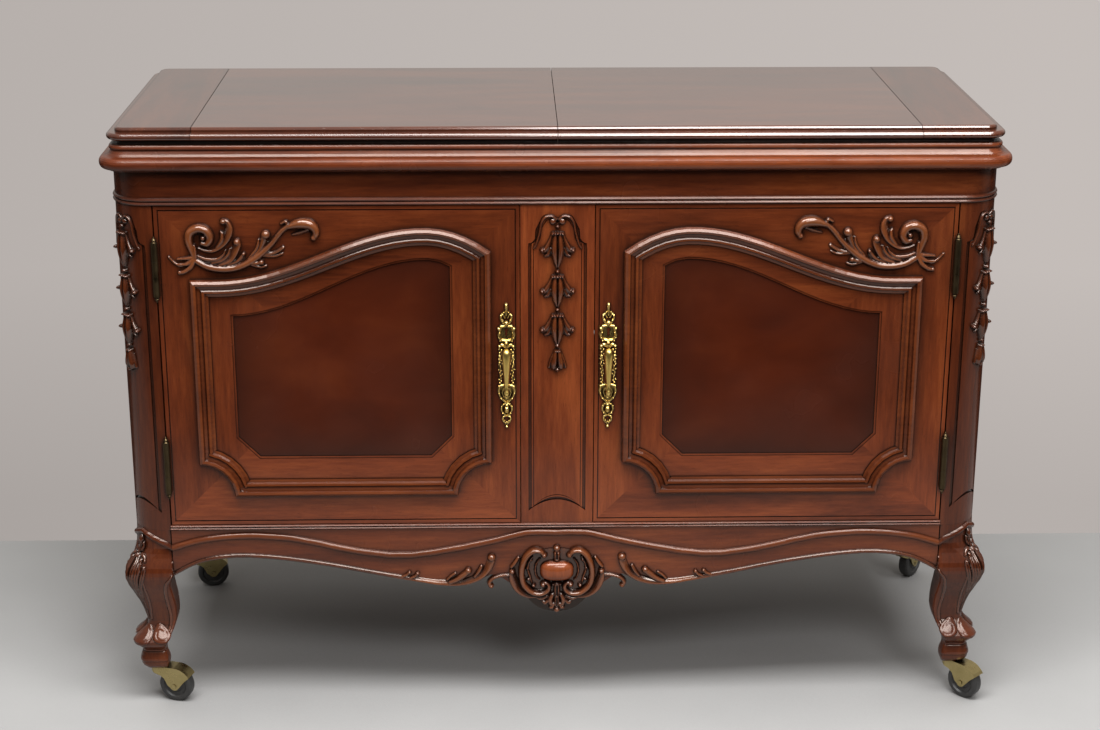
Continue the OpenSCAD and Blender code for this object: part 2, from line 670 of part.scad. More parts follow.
side_y = [front_y + post_w + joint, back_y - post_w - joint];
side_keys = [[0, -26], [0.3, -22], [0.62, -11], [0.85, -17], [1, -27.5]];
side_edge_keys = [[0, -66], [0.25, -62], [0.55, -47], [0.78, -46], [0.92, -56], [1, -72]];
module side_apron() {
    cy = (side_y[0] + side_y[1]) / 2;
    l2 = (side_y[1] - side_y[0]) / 2;
    mid = function(keys) let(r = finer(keys, 3), m = len(r) - 1)
        concat([for (i = [m : -1 : 1]) [-r[i][0], r[i][1]]], r);
    edge = mid(side_edge_keys);
    line = mid(side_keys);
    translate([half_w - apron_t, 0, 0]) rotate([90, 0, 90]) linear_extrude(apron_t)
        polygon(concat([[cy + l2, apron_top], [cy - l2, apron_top]], [for (p = edge) [cy + l2 * p[0], apron_top + p[1]]]));
    bead([for (p = line) [half_w, cy + l2 * p[0], apron_top + p[1]]], [for (p = line) [1, 0, 0]], apron_bead_r);
}
module side_rear_aprons() {
    color(mahogany) {
        side_apron();
        mirror([1, 0, 0]) side_apron();
        plate([[apron_l, apron_top], [-apron_l, apron_top], [-apron_l, apron_top - 72],
               [-apron_l * 0.9, apron_top - apron_h], [apron_l * 0.9, apron_top - apron_h], [apron_l, apron_top - 72]],
              back_y - apron_t, apron_t);
    }
}

// Cabriole leg, up from the foot: height as a share of the leg, distance that the outer
// faces stand out of the case faces, reach of the inner faces from them, outer corner radius
leg_rows = [
    [0, -7, 39, 10], [0.022, -2, 40.5, 12], [0.058, 0, 40.5, 12], [0.1, -3, 38, 11], [0.14, -2.5, 37.5, 12],
    [0.175, 4, 40, 16], [0.214, 7, 43, 18], [0.255, -2, 48, 15], [0.3, -10.5, 52.5, 12], [0.37, -10.3, 56, 11],
    [0.482, -4.5, 55, 11], [0.6, 6, 51.5, 13], [0.65, 9.5, 53.5, 14], [0.69, 11, 57, 15], [0.745, 9, 57, 20],
    [0.808, 3.5, 57, 30], [0.87, 0.5, 57, 42], [1, 0, 57, 50]];
leg_h = apron_top - foot_z;
function leg_ring(q) =
    let(o = -q[1], i = q[2] * post_w / 57, ro = min(q[3], corner_r), rs = 5, ri = 13)
    [for (p = concat(arc([o + ro, o + ro], ro, 180, 270, 6), arc([i - rs, o + rs], rs, 270, 360, 2),
                     arc([i - ri, i - ri], ri, 0, 90, 3), arc([o + rs, i - rs], rs, 90, 180, 2)))
        [half_w - p[0], front_y + p[1], foot_z + q[0] * leg_h]];
// The bead round the corner, rising from the aprons to a peak over the knee
leg_bead_rise = 22;
function leg_bead_path() = let(z0 = apron_top + bead_keys[len(bead_keys) - 1][1], c = [half_w - corner_r, front_y + corner_r])
    concat(
        [[post_x, front_y, z0]],
        [for (k = [0 : 8]) let(a = -90 + k * 11.25, s = 1 - abs(k - 4) / 4.8)
            [c[0] + corner_r * cos(a), c[1] + corner_r * sin(a), z0 + leg_bead_rise * pow(s, 0.8)]],
        [[half_w, front_y + post_w, z0]]);
function leg_bead_out() = concat(
    [[0, -1, 0]], [for (k = [0 : 8]) let(a = -90 + k * 11.25) [cos(a), sin(a), 0]], [[1, 0, 0]]);

stem_r = 5;
stem_h = 36;
module leg() {
    difference() {
        union() {
            tube(backwards([for (q = finer(leg_rows, 2)) leg_ring(q)]));
            bead(leg_bead_path(), leg_bead_out(), apron_bead_r);
        }
        translate([half_w - foot_in, front_y + foot_in, foot_z - 1]) cylinder(h = stem_h + 2, r = stem_r + run);
    }
}
// The right front corner is mirrored to the left, and to the back about the case's middle
mid_y = (front_y + back_y) / 2;
module at_corner(left, rear) {
    mirror([left ? 1 : 0, 0, 0])
        translate([0, rear ? 2 * mid_y : 0, 0]) mirror([0, rear ? 1 : 0, 0]) children();
}
module front_left_leg() { color(mahogany) at_corner(true, false) leg(); }
module front_right_leg() { color(mahogany) at_corner(false, false) leg(); }
module rear_left_leg() { color(mahogany) at_corner(true, true) leg(); }
module rear_right_leg() { color(mahogany) at_corner(false, true) leg(); }

// The cartouche: an oval boss between two pairs of C-scrolls, with a bud and a pendant drop
cart_z = apron_top - 59;
module on_apron(x, z) {
    translate([x, front_y, z]) rotate([90, 0, 0]) children();
}
module c_scroll(x, z, r, from, sweep, thick) {
    on_apron(x, z) rotate([0, 0, from]) rotate_extrude(angle = sweep, $fn = 40)
        polygon(arc([r, 0], thick, 0, 180, 8));
}
module dome(x, z, r) {
    on_apron(x, z) rotate_extrude($fn = 32) polygon(concat([[0, 0]], arc([0, 0], r, 0, 90, 6)));
}
module apron_cartouche() {
    color(mahogany) {
        on_apron(0, cart_z) rotate_extrude() polygon([[0, 0], [31, 0], [31, 5], [28, 7], [25, 6], [22, 10], [14, 12.5], [0, 13]]);
        for (s = [-1, 1]) {
            c_scroll(s * 44, cart_z - 4, 25, s > 0 ? -120 : 60, 240, 6);
            c_scroll(s * 17, cart_z - 34, 11, s > 0 ? 100 : -180, 260, 5);
            c_scroll(s * 20, cart_z + 30, 12, s > 0 ? -60 : -20, 260, 5);
            dome(s * 12, cart_z - 56, 7);
        }
        dome(0, cart_z + 37, 8);
        dome(0, cart_z - 60, 10);
        dome(0, cart_z - 74, 6);
    }
}

// ---- Casters ----

cheek_in = wheel_w / 2 + 0.7;
cheek_t = 2;
axle_r = 3;
hood_gap = 0.9;
hood_t = 2.4;
fork_top = foot_z - 0.3 - wheel_r;
fork_w = cheek_in + cheek_t;
// Line along the fork's plate and round the hood, inset by d, about the wheel's middle
function hood_line(d) = let(a = wheel_r + hood_gap + hood_t - d, b = fork_top - d)
    concat([[-trail - fork_w - 1, b]], [for (k = [90 : -9.5 : 33]) [a * cos(k), b * sin(k)]]);
module fork_side() {
    polygon(concat(hood_line(0), [[21.5, 13.6], [17, 9.6], [12.5, 4.4], [9, 0]], arc([0, 0], 7, -30, -150, 6), [
        [-10.5, 0], [-13, 5], [-16, 11], [-22, 15.2], [-30, 17.4], [-trail - fork_w - 1, fork_top - 7.5]]));
}
module fork_inside() {
    inner = hood_line(hood_t);
    end = inner[len(inner) - 1];
    polygon(concat([[inner[0][0], -20], [inner[0][0], inner[0][1]]], [for (i = [1 : len(inner) - 1]) inner[i]],
                   [[end[0] * 2, end[1] * 2], [end[0] * 2, -20]]));
}
module fork_plan(r) {
    circle(r);
    translate([0, -r]) square([trail + wheel_r + 6, 2 * r]);
}
module fork() {
    difference() {
        intersection() {
            translate([trail, fork_w + 1, wheel_r]) rotate([90, 0, 0]) linear_extrude(2 * fork_w + 2) fork_side();
            linear_extrude(foot_z) fork_plan(fork_w);
        }
        intersection() {
            translate([trail, fork_w + 1, wheel_r]) rotate([90, 0, 0]) linear_extrude(2 * fork_w + 2) fork_inside();
            linear_extrude(foot_z) fork_plan(cheek_in);
        }
    }
    translate([0, 0, foot_z - 0.3 - hood_t]) cylinder(h = hood_t, r = 13);
    translate([0, 0, foot_z - 2]) cylinder(h = stem_h + 1, r = stem_r);
    translate([trail, fork_w + 1.2, wheel_r]) rotate([90, 0, 0]) cylinder(h = 2 * (fork_w + 1.2), r = axle_r);
}
module wheel() {
    w = wheel_w / 2;
    e = 4;
    translate([trail, 0, wheel_r]) rotate([90, 0, 0]) rotate_extrude($fn = 96)
        polygon(concat([[axle_r + run, -w + 0.4], [9, -w + 0.4], [11, -w + 2.4], [16, -w + 2.4], [18, -w]],
                       [for (a = [-90 : 22.5 : 0]) [wheel_r - e + e * cos(a), -w + e + e * sin(a)]],
                       [for (a = [0 : 22.5 : 90]) [wheel_r - e + e * cos(a), w - e + e * sin(a)]],
                       [[18, w], [16, w - 2.4], [11, w - 2.4], [9, w - 0.4], [axle_r + run, w - 0.4]]));
}
// Casters stand under the feet: 0 front left, 1 front right, 2 rear left, 3 rear right
module at_foot(i) {
    x = (i % 2 == 0 ? -1 : 1) * (half_w - foot_in);
    y = i < 2 ? front_y + foot_in : back_y - foot_in;
    translate([x, y, 0]) rotate([0, 0, trail_dir[i]]) children();
}
module front_left_fork() { color(brass_tone) at_foot(0) fork(); }
module front_right_fork() { color(brass_tone) at_foot(1) fork(); }
module rear_left_fork() { color(brass_tone) at_foot(2) fork(); }
module rear_right_fork() { color(brass_tone) at_foot(3) fork(); }
module front_left_wheel() { color(rubber_tone) at_foot(0) wheel(); }
module front_right_wheel() { color(rubber_tone) at_foot(1) wheel(); }
module rear_left_wheel() { color(rubber_tone) at_foot(2) wheel(); }
module rear_right_wheel() { color(rubber_tone) at_foot(3) wheel(); }

// ---- Changer, under the left lid ----

deck_top = floor_z + deck_z + deck_t;
cut_margin = 26;
plate_size = [404, 340];
plate_c = [-(end_seam_x + board_t / 2) / 2 + 4, mid_y];
plate_h = 4;
changer_top = deck_top + plate_h;
spindle_c = [-spindle_x, mid_y - 3];
arm_c = spindle_c + arm_off;
platter_z = changer_top + 10;
platter_t = 12;
mat_t = 2.5;
bearing_r = 3.9;

module motor_board() {
    color(inner_wood) {
        difference() {
            box([-inner_w + joint, bay_front + joint, floor_z + deck_z], [-board_t / 2 - joint, bay_back - joint, deck_top]);
            translate([plate_c[0] - plate_size[0] / 2 + cut_margin, plate_c[1] - plate_size[1] / 2 + cut_margin, floor_z + deck_z - 1])
                cube([plate_size[0] - 2 * cut_margin, plate_size[1] - 2 * cut_margin, deck_t + 2]);
        }
        for (x = [-inner_w + joint, -board_t / 2 - joint - 20])
            box([x, baffle_y + baffle_t + 1, floor_z + deck_z - 20], [x + 20, bay_back - 24, floor_z + deck_z]);
    }
}

module round_plate(size, r, h) {
    linear_extrude(h) {
        translate([-size[0] / 2 + r, -size[1] / 2]) square([size[0] - 2 * r, size[1]]);
        translate([-size[0] / 2, -size[1] / 2 + r]) square([size[0], size[1] - 2 * r]);
        for (sx = [-1, 1], sy = [-1, 1]) translate([sx * (size[0] / 2 - r), sy * (size[1] / 2 - r)]) circle(r);
    }
}
motor_c = spindle_c + [-95, 80];
module changer_plate() {
    color(enamel) difference() {
        union() {
            translate([plate_c[0], plate_c[1], deck_top]) round_plate(plate_size, 22, plate_h);
            // bearing boss and the raised ring that the platter turns over
            translate([spindle_c[0], spindle_c[1], deck_top - 14]) cylinder(h = 14 + plate_h + 9.7, r = 11);
            translate([spindle_c[0], spindle_c[1], deck_top]) cylinder(h = plate_h + 2.5, r = platter_r - 14);
            // shaded-pole motor hung under the plate on three grommets
            translate([motor_c[0], motor_c[1], deck_top - 78]) cylinder(h = 58, r = 44);
            for (a = [30, 150, 270]) translate([motor_c[0] + 36 * cos(a), motor_c[1] + 36 * sin(a), deck_top - 24])
                cylinder(h = 25, r = 6);
        }
        translate([spindle_c[0], spindle_c[1], deck_top - 20]) cylinder(h = 60, r = bearing_r);
        translate([arm_c[0], arm_c[1], deck_top - 1]) cylinder(h = plate_h + 2, r = 6);
        translate([changer_knob_c[0], changer_knob_c[1], deck_top - 1]) cylinder(h = plate_h + 2, r = 3 + run);
    }
}

module platter() {
    z1 = platter_z + platter_t;
    color(enamel) translate([spindle_c[0], spindle_c[1], 0]) rotate_extrude($fn = 96)
        polygon([[bearing_r + run, platter_z], [16, platter_z], [16, z1 - 3], [platter_r - 6, z1 - 3],
                 [platter_r - 6, platter_z + 1], [platter_r - 1.5, platter_z + 1], [platter_r, platter_z + 2.5],
                 [platter_r, z1 - 1.5], [platter_r - 1.5, z1], [bearing_r + run, z1]]);
}

module spindle() {
    z_step = platter_z + platter_t + mat_t;
    z_top = deck_top + spindle_h;
    color(steel_tone) translate([spindle_c[0], spindle_c[1], 0]) rotate_extrude()
        polygon([[0, deck_top - 16], [bearing_r, deck_top - 16], [bearing_r, z_step], [spindle_r, z_step],
                 [spindle_r, z_top - 5], [spindle_r * 0.6, z_top - 1.5], [0, z_top]]);
}

arm_base_h = 16;
rest_c = arm_c + [0, -172];
yoke_pin_z = changer_top + arm_base_h + 24;
rest_h = yoke_pin_z - 5 - changer_top;
arm_pin_r = 1.5;
module arm_base() {
    color(enamel) {
        translate([arm_c[0], arm_c[1], changer_top]) difference() {
            rotate_extrude() polygon([[0, 0], [20, 0], [20, 3], [16, 6], [15, arm_base_h], [0, arm_base_h]]);
            translate([0, 0, 2]) cylinder(h = arm_base_h, r = 5 + run);
        }
        // the post that the arm rests on
        translate([rest_c[0], rest_c[1], changer_top]) rotate_extrude()
            polygon([[0, 0], [7, 0], [4, 3], [3, 8], [3, rest_h], [0, rest_h]]);
    }
}
ear_gap = 10.4;
module arm_yoke() {
    z0 = changer_top + arm_base_h + joint;
    color(steel_tone) translate([arm_c[0], arm_c[1], 0]) {
        translate([0, 0, changer_top + 3]) cylinder(h = z0 - changer_top - 1, r = 5);
        translate([0, 0, z0]) cylinder(h = 4, r = 15);
        for (s = [-1, 1]) difference() {
            translate([s * (ear_gap + 1.6) - 1.6, -6, z0 + 3]) cube([3.2, 12, yoke_pin_z + 6 - z0 - 3]);
            translate([0, 0, yoke_pin_z]) rotate([0, 90, 0]) cylinder(h = 60, r = arm_pin_r + run, center = true);
        }
    }
}
arm_l = 226;
tail = 34;
module tonearm() {
    zc = yoke_pin_z;
    stylus_z = platter_z + platter_t + mat_t + 1;
    color([0.10, 0.08, 0.07]) {
        // the arm is its plan outline cut to its side outline
        translate([arm_c[0], arm_c[1], zc]) intersection() {
            translate([0, 0, -20]) linear_extrude(40)
                polygon([for (s = [1, -1], q = s > 0 ? arm_plan : backwards(arm_plan)) [s * q[1], q[0]]]);
            translate([-20, 0, 0]) rotate([90, 0, 90]) linear_extrude(40) polygon(arm_side);
        }
        // cartridge and stylus
        box([arm_c[0] - 5, arm_c[1] - arm_l - 5, zc - 12], [arm_c[0] + 5, arm_c[1] - arm_l + 16, zc - 7]);
        translate([arm_c[0], arm_c[1] - arm_l, stylus_z]) cylinder(h = zc - 12 - stylus_z + 0.5, r = 0.8);
        translate([arm_c[0], arm_c[1], zc]) rotate([0, 90, 0])
            cylinder(h = 2 * ear_gap + 6, r = arm_pin_r, center = true);
    }
}
// Half widths along the arm, and its outline from the side, from tail to head
arm_plan = [[tail, 7], [tail - 4, 9], [-26, 9.5], [-arm_l + 46, 6], [-arm_l + 30, 7], [-arm_l + 8, 9], [-arm_l - 4, 8], [-arm_l - 8, 5]];
arm_side = [[tail, 4], [tail, -5], [tail - 2, -6], [-26, -6], [-arm_l + 44, -4.4], [-arm_l + 30, -8], [-arm_l - 6, -8],
            [-arm_l - 8, -5], [-arm_l - 4, -1], [-arm_l + 30, 5], [-arm_l + 60, 6.2], [-26, 6.5], [tail - 4, 6]];

changer_knob_c = plate_c + [plate_size[0] / 2 - 88, 34 - plate_size[1] / 2];
module turned_knob(c, z, r, h, shaft_to, shaft_r) {
    translate([c[0], c[1], 0]) {
        translate([0, 0, z]) rotate_extrude() polygon([[0, 0], [r, 0], [r, h * 0.25], [r * 0.86, h * 0.34],
            [r * 0.82, h * 0.85], [r * 0.7, h], [0, h]]);
        translate([0, 0, shaft_to]) cylinder(h = z + h * 0.5 - shaft_to, r = shaft_r);
    }
}
module changer_knob() {
    color([0.10, 0.08, 0.07]) turned_knob(changer_knob_c, changer_top + joint, 13, 15, deck_top - 10, 3);
}

// ---- Radio, under the right lid ----

panel_top = floor_z + panel_z + deck_t;
dial_c = [(board_t / 2 + end_seam_x) / 2, mid_y + 62];
dial_d = 78;
window_inset = 10;
knob_y = mid_y - 92;
knob_xs = [dial_c[0] - 118, dial_c[0] - 40, dial_c[0] + 110];
knob_h = 20;
knob_shaft_r = 3;

module radio_panel() {
    color(mahogany) {
        difference() {
            box([board_t / 2 + joint, bay_front + joint, floor_z + panel_z], [inner_w - joint, bay_back - joint, panel_top]);
            translate([dial_c[0] - dial_l / 2, dial_c[1] - dial_d / 2, panel_top - 6]) cube([dial_l, dial_d, 10]);
            translate([dial_c[0] - dial_l / 2 + window_inset, dial_c[1] - dial_d / 2 + window_inset, panel_top - 20])
                cube([dial_l - 2 * window_inset, dial_d - 2 * window_inset, 30]);
            for (x = knob_xs) translate([x, knob_y, panel_top - 20]) cylinder(h = 40, r = knob_shaft_r + run);
        }
        for (x = [board_t / 2 + joint, inner_w - joint - 20])
            box([x, bay_front + 24, floor_z + panel_z - 20], [x + 20, bay_back - 24, floor_z + panel_z]);
    }
}
module dial_face() {
    color([0.85, 0.78, 0.55]) translate([dial_c[0] - dial_l / 2 + joint, dial_c[1] - dial_d / 2 + joint, panel_top - 6])
        cube([dial_l - 2 * joint, dial_d - 2 * joint, 2.5]);
}
pointer_travel = 110;
module dial_pointer() {
    color([0.75, 0.16, 0.10]) {
        translate([dial_c[0] - 0.8, dial_c[1] - dial_d / 2 + 8, panel_top - 3.2]) cube([1.6, dial_d - 16, 1]);
        translate([dial_c[0] - 5, dial_c[1] - dial_d / 2 + 2, panel_top - 3.2]) cube([10, 6.5, 1.6]);
    }
}
module radio_knob(i) {
    turned_knob([knob_xs[i], knob_y], panel_top + joint, knob_r, knob_h, chassis_top + joint, knob_shaft_r);
}
module tuning_knob() { color([0.16, 0.09, 0.06]) radio_knob(2); }
module volume_knob() { color([0.16, 0.09, 0.06]) radio_knob(0); }
module tone_knob() { color([0.16, 0.09, 0.06]) radio_knob(1); }

shelf_top = floor_z + bay_h + shelf_t;
chassis_size = [440, 230, 58];
chassis_top = shelf_top + joint + chassis_size[2];
module tube_valve(x, y, r, h) {
    translate([x, y, chassis_top]) rotate_extrude()
        polygon(concat([[0, -1], [r + 2, -1], [r + 2, 8], [r, 9]], arc([0, h - r], r, 0, 80, 5), [[0, h]]));
}
module radio_chassis() {
    c = [dial_c[0], mid_y];
    color(steel_tone) {
        translate([c[0] - chassis_size[0] / 2, c[1] - chassis_size[1] / 2, shelf_top + joint])
            cube(chassis_size);
        translate([c[0] - 190, c[1] + 15, chassis_top - 1]) cube([76, 66, 72]);
        for (k = [0 : 3]) tube_valve(c[0] - 80 + 60 * k, c[1] + 80, 13, k < 2 ? 80 : 62);
        for (k = [0 : 2]) translate([c[0] - 50 + 60 * k, c[1] + 28, chassis_top - 1]) cylinder(h = 60, r = 12);
        translate([c[0] + 150, c[1] + 10, chassis_top - 1]) cube([44, 60, 50]);
    }
}

baffle_t = 16;
baffle_y = bay_front + 16;
speaker_c = [-(inner_w + board_t / 2) / 2, floor_z + speaker_z];
flange_w = 14;
cone_d = 78;
module speaker_place() {
    translate([speaker_c[0], baffle_y + baffle_t, speaker_c[1]]) rotate([-90, 0, 0]) children();
}
module speaker_baffle() {
    x0 = -inner_w + joint;
    x1 = -board_t / 2 - joint;
    color(inner_wood) difference() {
        box([x0, baffle_y, floor_z + joint], [x1, baffle_y + baffle_t, floor_z + deck_z - joint]);
        translate([speaker_c[0], baffle_y - 1, speaker_c[1]]) rotate([-90, 0, 0]) cylinder(h = baffle_t + 2, r = speaker_r, $fn = 96);
    }
}
module speaker_frame() {
    r = speaker_r;
    color(steel_tone) speaker_place() {
        difference() {
            rotate_extrude($fn = 96) polygon([[r + flange_w, joint], [r + flange_w, 3.3], [r + 2, 3.3], [62, cone_d + 14],
                [62, cone_d + 18], [0, cone_d + 18], [0, cone_d + 15.5], [58, cone_d + 15.5], [58, cone_d + 12], [r - 3, 3.3], [r - 3, joint]]);
            for (k = [0 : 5]) rotate([0, 0, 60 * k]) translate([r * 0.74, 0, cone_d * 0.55]) rotate([90, 0, 90])
                cylinder(h = 90, r = 22, center = true);
        }
        translate([0, 0, cone_d + 17.5]) cylinder(h = 32, r = 52);
    }
}
module speaker_cone() {
    r = speaker_r;
    color([0.20, 0.18, 0.16]) speaker_place() rotate_extrude($fn = 96)
        polygon([[r - 3.3, 1], [r - 3.3, 2.2], [r - 12, 3.2], [26, cone_d], [0, cone_d + 14], [0, cone_d + 12.4], [25, cone_d - 1.6], [r - 12, 1.6], [r - 8, 0.6]]);
}
cloth_t = 1.2;
module grille_cloth() {
    color([0.60, 0.48, 0.30]) box([-inner_w + 8, baffle_y - joint - cloth_t, floor_z + 8],
                                  [-board_t / 2 - 8, baffle_y - joint, floor_z + deck_z - 8]);
}

rack_back = back_y - back_t - 8;
module record_rack() {
    x0 = board_t / 2 + joint;
    x1 = inner_w - joint;
    pitch = (x1 - x0) / (dividers + 1);
    color(inner_wood) {
        box([x0, bay_front + 22, shelf_top - shelf_t], [x1, rack_back, shelf_top]);
        for (k = [1 : dividers])
            box([x0 + pitch * k - 5, bay_front + 22, floor_z + joint], [x0 + pitch * k + 5, rack_back, shelf_top - shelf_t + 1]);
    }
}

corner_posts();
side_panels();
back_panel();
case_floor();
centre_partition();
centre_stile();
top_rails();
cornice();
fixed_top_ends();
left_lid();
right_lid();
lid_hinge_seats();
left_lid_leaves();
right_lid_leaves();
left_door();
right_door();
left_door_moulding();
right_door_moulding();
left_pull();
right_pull();
left_door_leaves();
right_door_leaves();
door_hinge_posts();
lock_case();
lock_bolt();
front_apron();
side_rear_aprons();
front_left_leg();
front_right_leg();
rear_left_leg();
rear_right_leg();
apron_cartouche();
front_left_fork();
front_right_fork();
rear_left_fork();
rear_right_fork();
front_left_wheel();
front_right_wheel();
rear_left_wheel();
rear_right_wheel();
motor_board();
changer_plate();
platter();
spindle();
arm_base();
arm_yoke();
tonearm();
changer_knob();
radio_panel();
dial_face();
dial_pointer();
tuning_knob();
volume_knob();
tone_knob();
radio_chassis();
speaker_frame();
speaker_cone();
speaker_baffle();
grille_cloth();
record_rack();
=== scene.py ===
import math

import bpy
import numpy as np
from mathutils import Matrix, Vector
from mathutils.bvhtree import BVHTree


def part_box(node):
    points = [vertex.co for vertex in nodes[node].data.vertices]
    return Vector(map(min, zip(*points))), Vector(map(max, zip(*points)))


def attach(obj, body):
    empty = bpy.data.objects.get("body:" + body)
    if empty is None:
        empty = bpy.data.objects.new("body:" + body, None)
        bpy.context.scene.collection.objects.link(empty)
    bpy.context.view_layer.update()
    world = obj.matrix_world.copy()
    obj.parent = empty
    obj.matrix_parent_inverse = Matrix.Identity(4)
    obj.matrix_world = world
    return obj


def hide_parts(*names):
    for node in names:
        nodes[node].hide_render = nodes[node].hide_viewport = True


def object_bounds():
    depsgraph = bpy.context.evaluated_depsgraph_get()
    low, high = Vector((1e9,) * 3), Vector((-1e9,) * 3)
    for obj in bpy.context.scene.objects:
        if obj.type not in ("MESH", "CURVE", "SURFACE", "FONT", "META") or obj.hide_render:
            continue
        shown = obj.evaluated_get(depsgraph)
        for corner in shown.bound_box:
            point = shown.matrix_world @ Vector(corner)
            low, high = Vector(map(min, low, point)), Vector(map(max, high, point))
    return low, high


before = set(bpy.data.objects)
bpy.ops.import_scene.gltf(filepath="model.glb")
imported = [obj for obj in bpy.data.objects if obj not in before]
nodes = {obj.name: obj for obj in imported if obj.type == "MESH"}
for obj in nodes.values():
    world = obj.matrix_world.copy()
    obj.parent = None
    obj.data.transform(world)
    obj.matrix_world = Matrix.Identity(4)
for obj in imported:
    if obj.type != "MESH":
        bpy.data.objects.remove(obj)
cad_lo, cad_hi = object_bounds()

mm = 0.001
front_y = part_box("left_door")[0].y
half_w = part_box("corner_posts")[1].x
corner_r = 50 * mm
# half the way round a front corner, in mm
CORNER_HALF = corner_r / mm * math.pi / 4
SIDES = (("left", -1), ("right", 1))
CORNERS = ("front_left", "front_right", "rear_left", "rear_right")

# ---- materials


class Nodes:
    """Short ways to add and join nodes in a tree."""

    def __init__(self, tree):
        self.tree = tree

    def add(self, kind, inputs=None, **settings):
        node = self.tree.nodes.new(kind)
        for key, value in settings.items():
            setattr(node, key, value)
        for key, value in (inputs or {}).items():
            self.put(node.inputs[key], value)
        return node

    def put(self, socket, value):
        if isinstance(value, bpy.types.NodeSocket):
            self.tree.links.new(value, socket)
        else:
            socket.default_value = value

    def math(self, operation, a, b=0.0, clamp=False):
        return self.add("ShaderNodeMath", {0: a, 1: b}, operation=operation, use_clamp=clamp).outputs[0]

    def times(self, a, b):
        return self.math("MULTIPLY", a, b)

    def less(self, a, b):
        return self.math("SUBTRACT", a, b)

    def spread(self, value, low, high, at_low=0.0, at_high=1.0):
        """at_low where the value is low, at_high where it is high, and in line between."""
        node = self.add("ShaderNodeMapRange", {"Value": value, "From Min": low, "From Max": high,
                                               "To Min": at_low, "To Max": at_high})
        return node.outputs["Result"]

    def apart(self, vector):
        return self.add("ShaderNodeSeparateXYZ", {"Vector": vector}).outputs


class Shader(Nodes):
    """A material on the Principled shader."""

    def __init__(self, name):
        self.mat = bpy.data.materials.new(name)
        self.mat.use_nodes = True
        super().__init__(self.mat.node_tree)
        self.bsdf = self.tree.nodes["Principled BSDF"]
        self.place = self.add("ShaderNodeTexCoord").outputs["Object"]

    def set(self, **values):
        for key, value in values.items():
            self.put(self.bsdf.inputs[key.replace("_", " ")], value)

    def mix(self, factor, a, b):
        return self.add("ShaderNodeMix", {0: factor, 6: a, 7: b}, data_type="RGBA").outputs[2]

    def noise(self, stretch, detail=3.0, rough=0.55, twist=0.0):
        mapped = self.add("ShaderNodeMapping", {"Vector": self.place, "Scale": stretch})
        node = self.add("ShaderNodeTexNoise", {"Vector": mapped.outputs[0], "Scale": 1.0, "Detail": detail,
                                               "Roughness": rough, "Distortion": twist})
        return node.outputs["Fac"]

    def ramp(self, factor, stops):
        node = self.add("ShaderNodeValToRGB", {"Fac": factor})
        bar = node.color_ramp
        bar.elements[0].position, bar.elements[0].color = stops[0][0], colour(stops[0][1])
        bar.elements[1].position, bar.elements[1].color = stops[-1][0], colour(stops[-1][1])
        for at, value in stops[1:-1]:
            bar.elements.new(at).color = colour(value)
        return node.outputs["Color"]

    def between(self, factor, low, high):
        """A noise factor spread over low to high."""
        return self.spread(factor, 0.3, 0.7, low, high)

    def hollow(self, reach, low=0.38, high=0.97):
        """1 in recesses, 0 on open surfaces."""
        shade = self.add("ShaderNodeAmbientOcclusion", {"Distance": reach}, samples=6)
        return self.math("SUBTRACT", 1.0, self.spread(shade.outputs["AO"], low, high), clamp=True)

    def bump(self, height, depth, strength):
        node = self.add("ShaderNodeBump", {"Height": height, "Distance": depth, "Strength": strength})
        self.put(self.bsdf.inputs["Normal"], node.outputs["Normal"])


def colour(value):
    return (value, value, value, 1.0) if isinstance(value, (int, float)) else (*value, 1.0)


# noise scale along each axis for grain along x, y or z, the dark glazing colour of recesses, also used for
# painted shade, and the colour of wood rubbed bare, also used for painted highlight
GRAIN = {"x": (1, 9, 9), "y": (9, 1, 9), "z": (9, 9, 1)}
GLAZE_AND_SHADE = (0.0075, 0.0030, 0.0018)
RUBBED_HIGHLIGHT = (0.235, 0.082, 0.028)


def wood_figure(s, along, dark, mid, light):
    """Colour and pore height of straight-grained wood along one axis."""
    stretch = Vector(GRAIN[along])
    figure = s.noise(stretch * 1.6, 4.0, 0.6, 1.2)
    fibre = s.noise(stretch * 26.0, 3.0, 0.6)
    pores = s.noise(stretch * 95.0, 2.0, 0.5)
    cloud = s.noise(stretch * 0.45 + Vector((2.4, 2.4, 2.4)), 2.0, 0.5)
    blend = s.math("ADD", s.times(figure, 0.50), s.times(fibre, 0.24))
    blend = s.math("ADD", blend, s.times(cloud, 0.26))
    tone = s.ramp(blend, [(0.34, dark), (0.50, mid), (0.66, light)])
    pore = s.spread(pores, 0.36, 0.30)
    return s.mix(s.times(pore, 0.35), tone, colour(tuple(c * 0.35 for c in dark))), pore


def lacquer(s, pore, low=0.17, high=0.30):
    """A rubbed gloss over the wood, a little open at the pores."""
    s.set(Roughness=s.between(s.noise((7, 7, 7), 3.0), low, high))
    s.set(IOR=1.46, Specular_Tint=colour((1.0, 0.86, 0.78)))
    s.bump(s.less(1.0, pore), 0.00010, 0.3)


RED_DARK, RED_MID, RED_LIGHT = (0.036, 0.0068, 0.0026), (0.092, 0.0188, 0.0056), (0.158, 0.037, 0.0100)


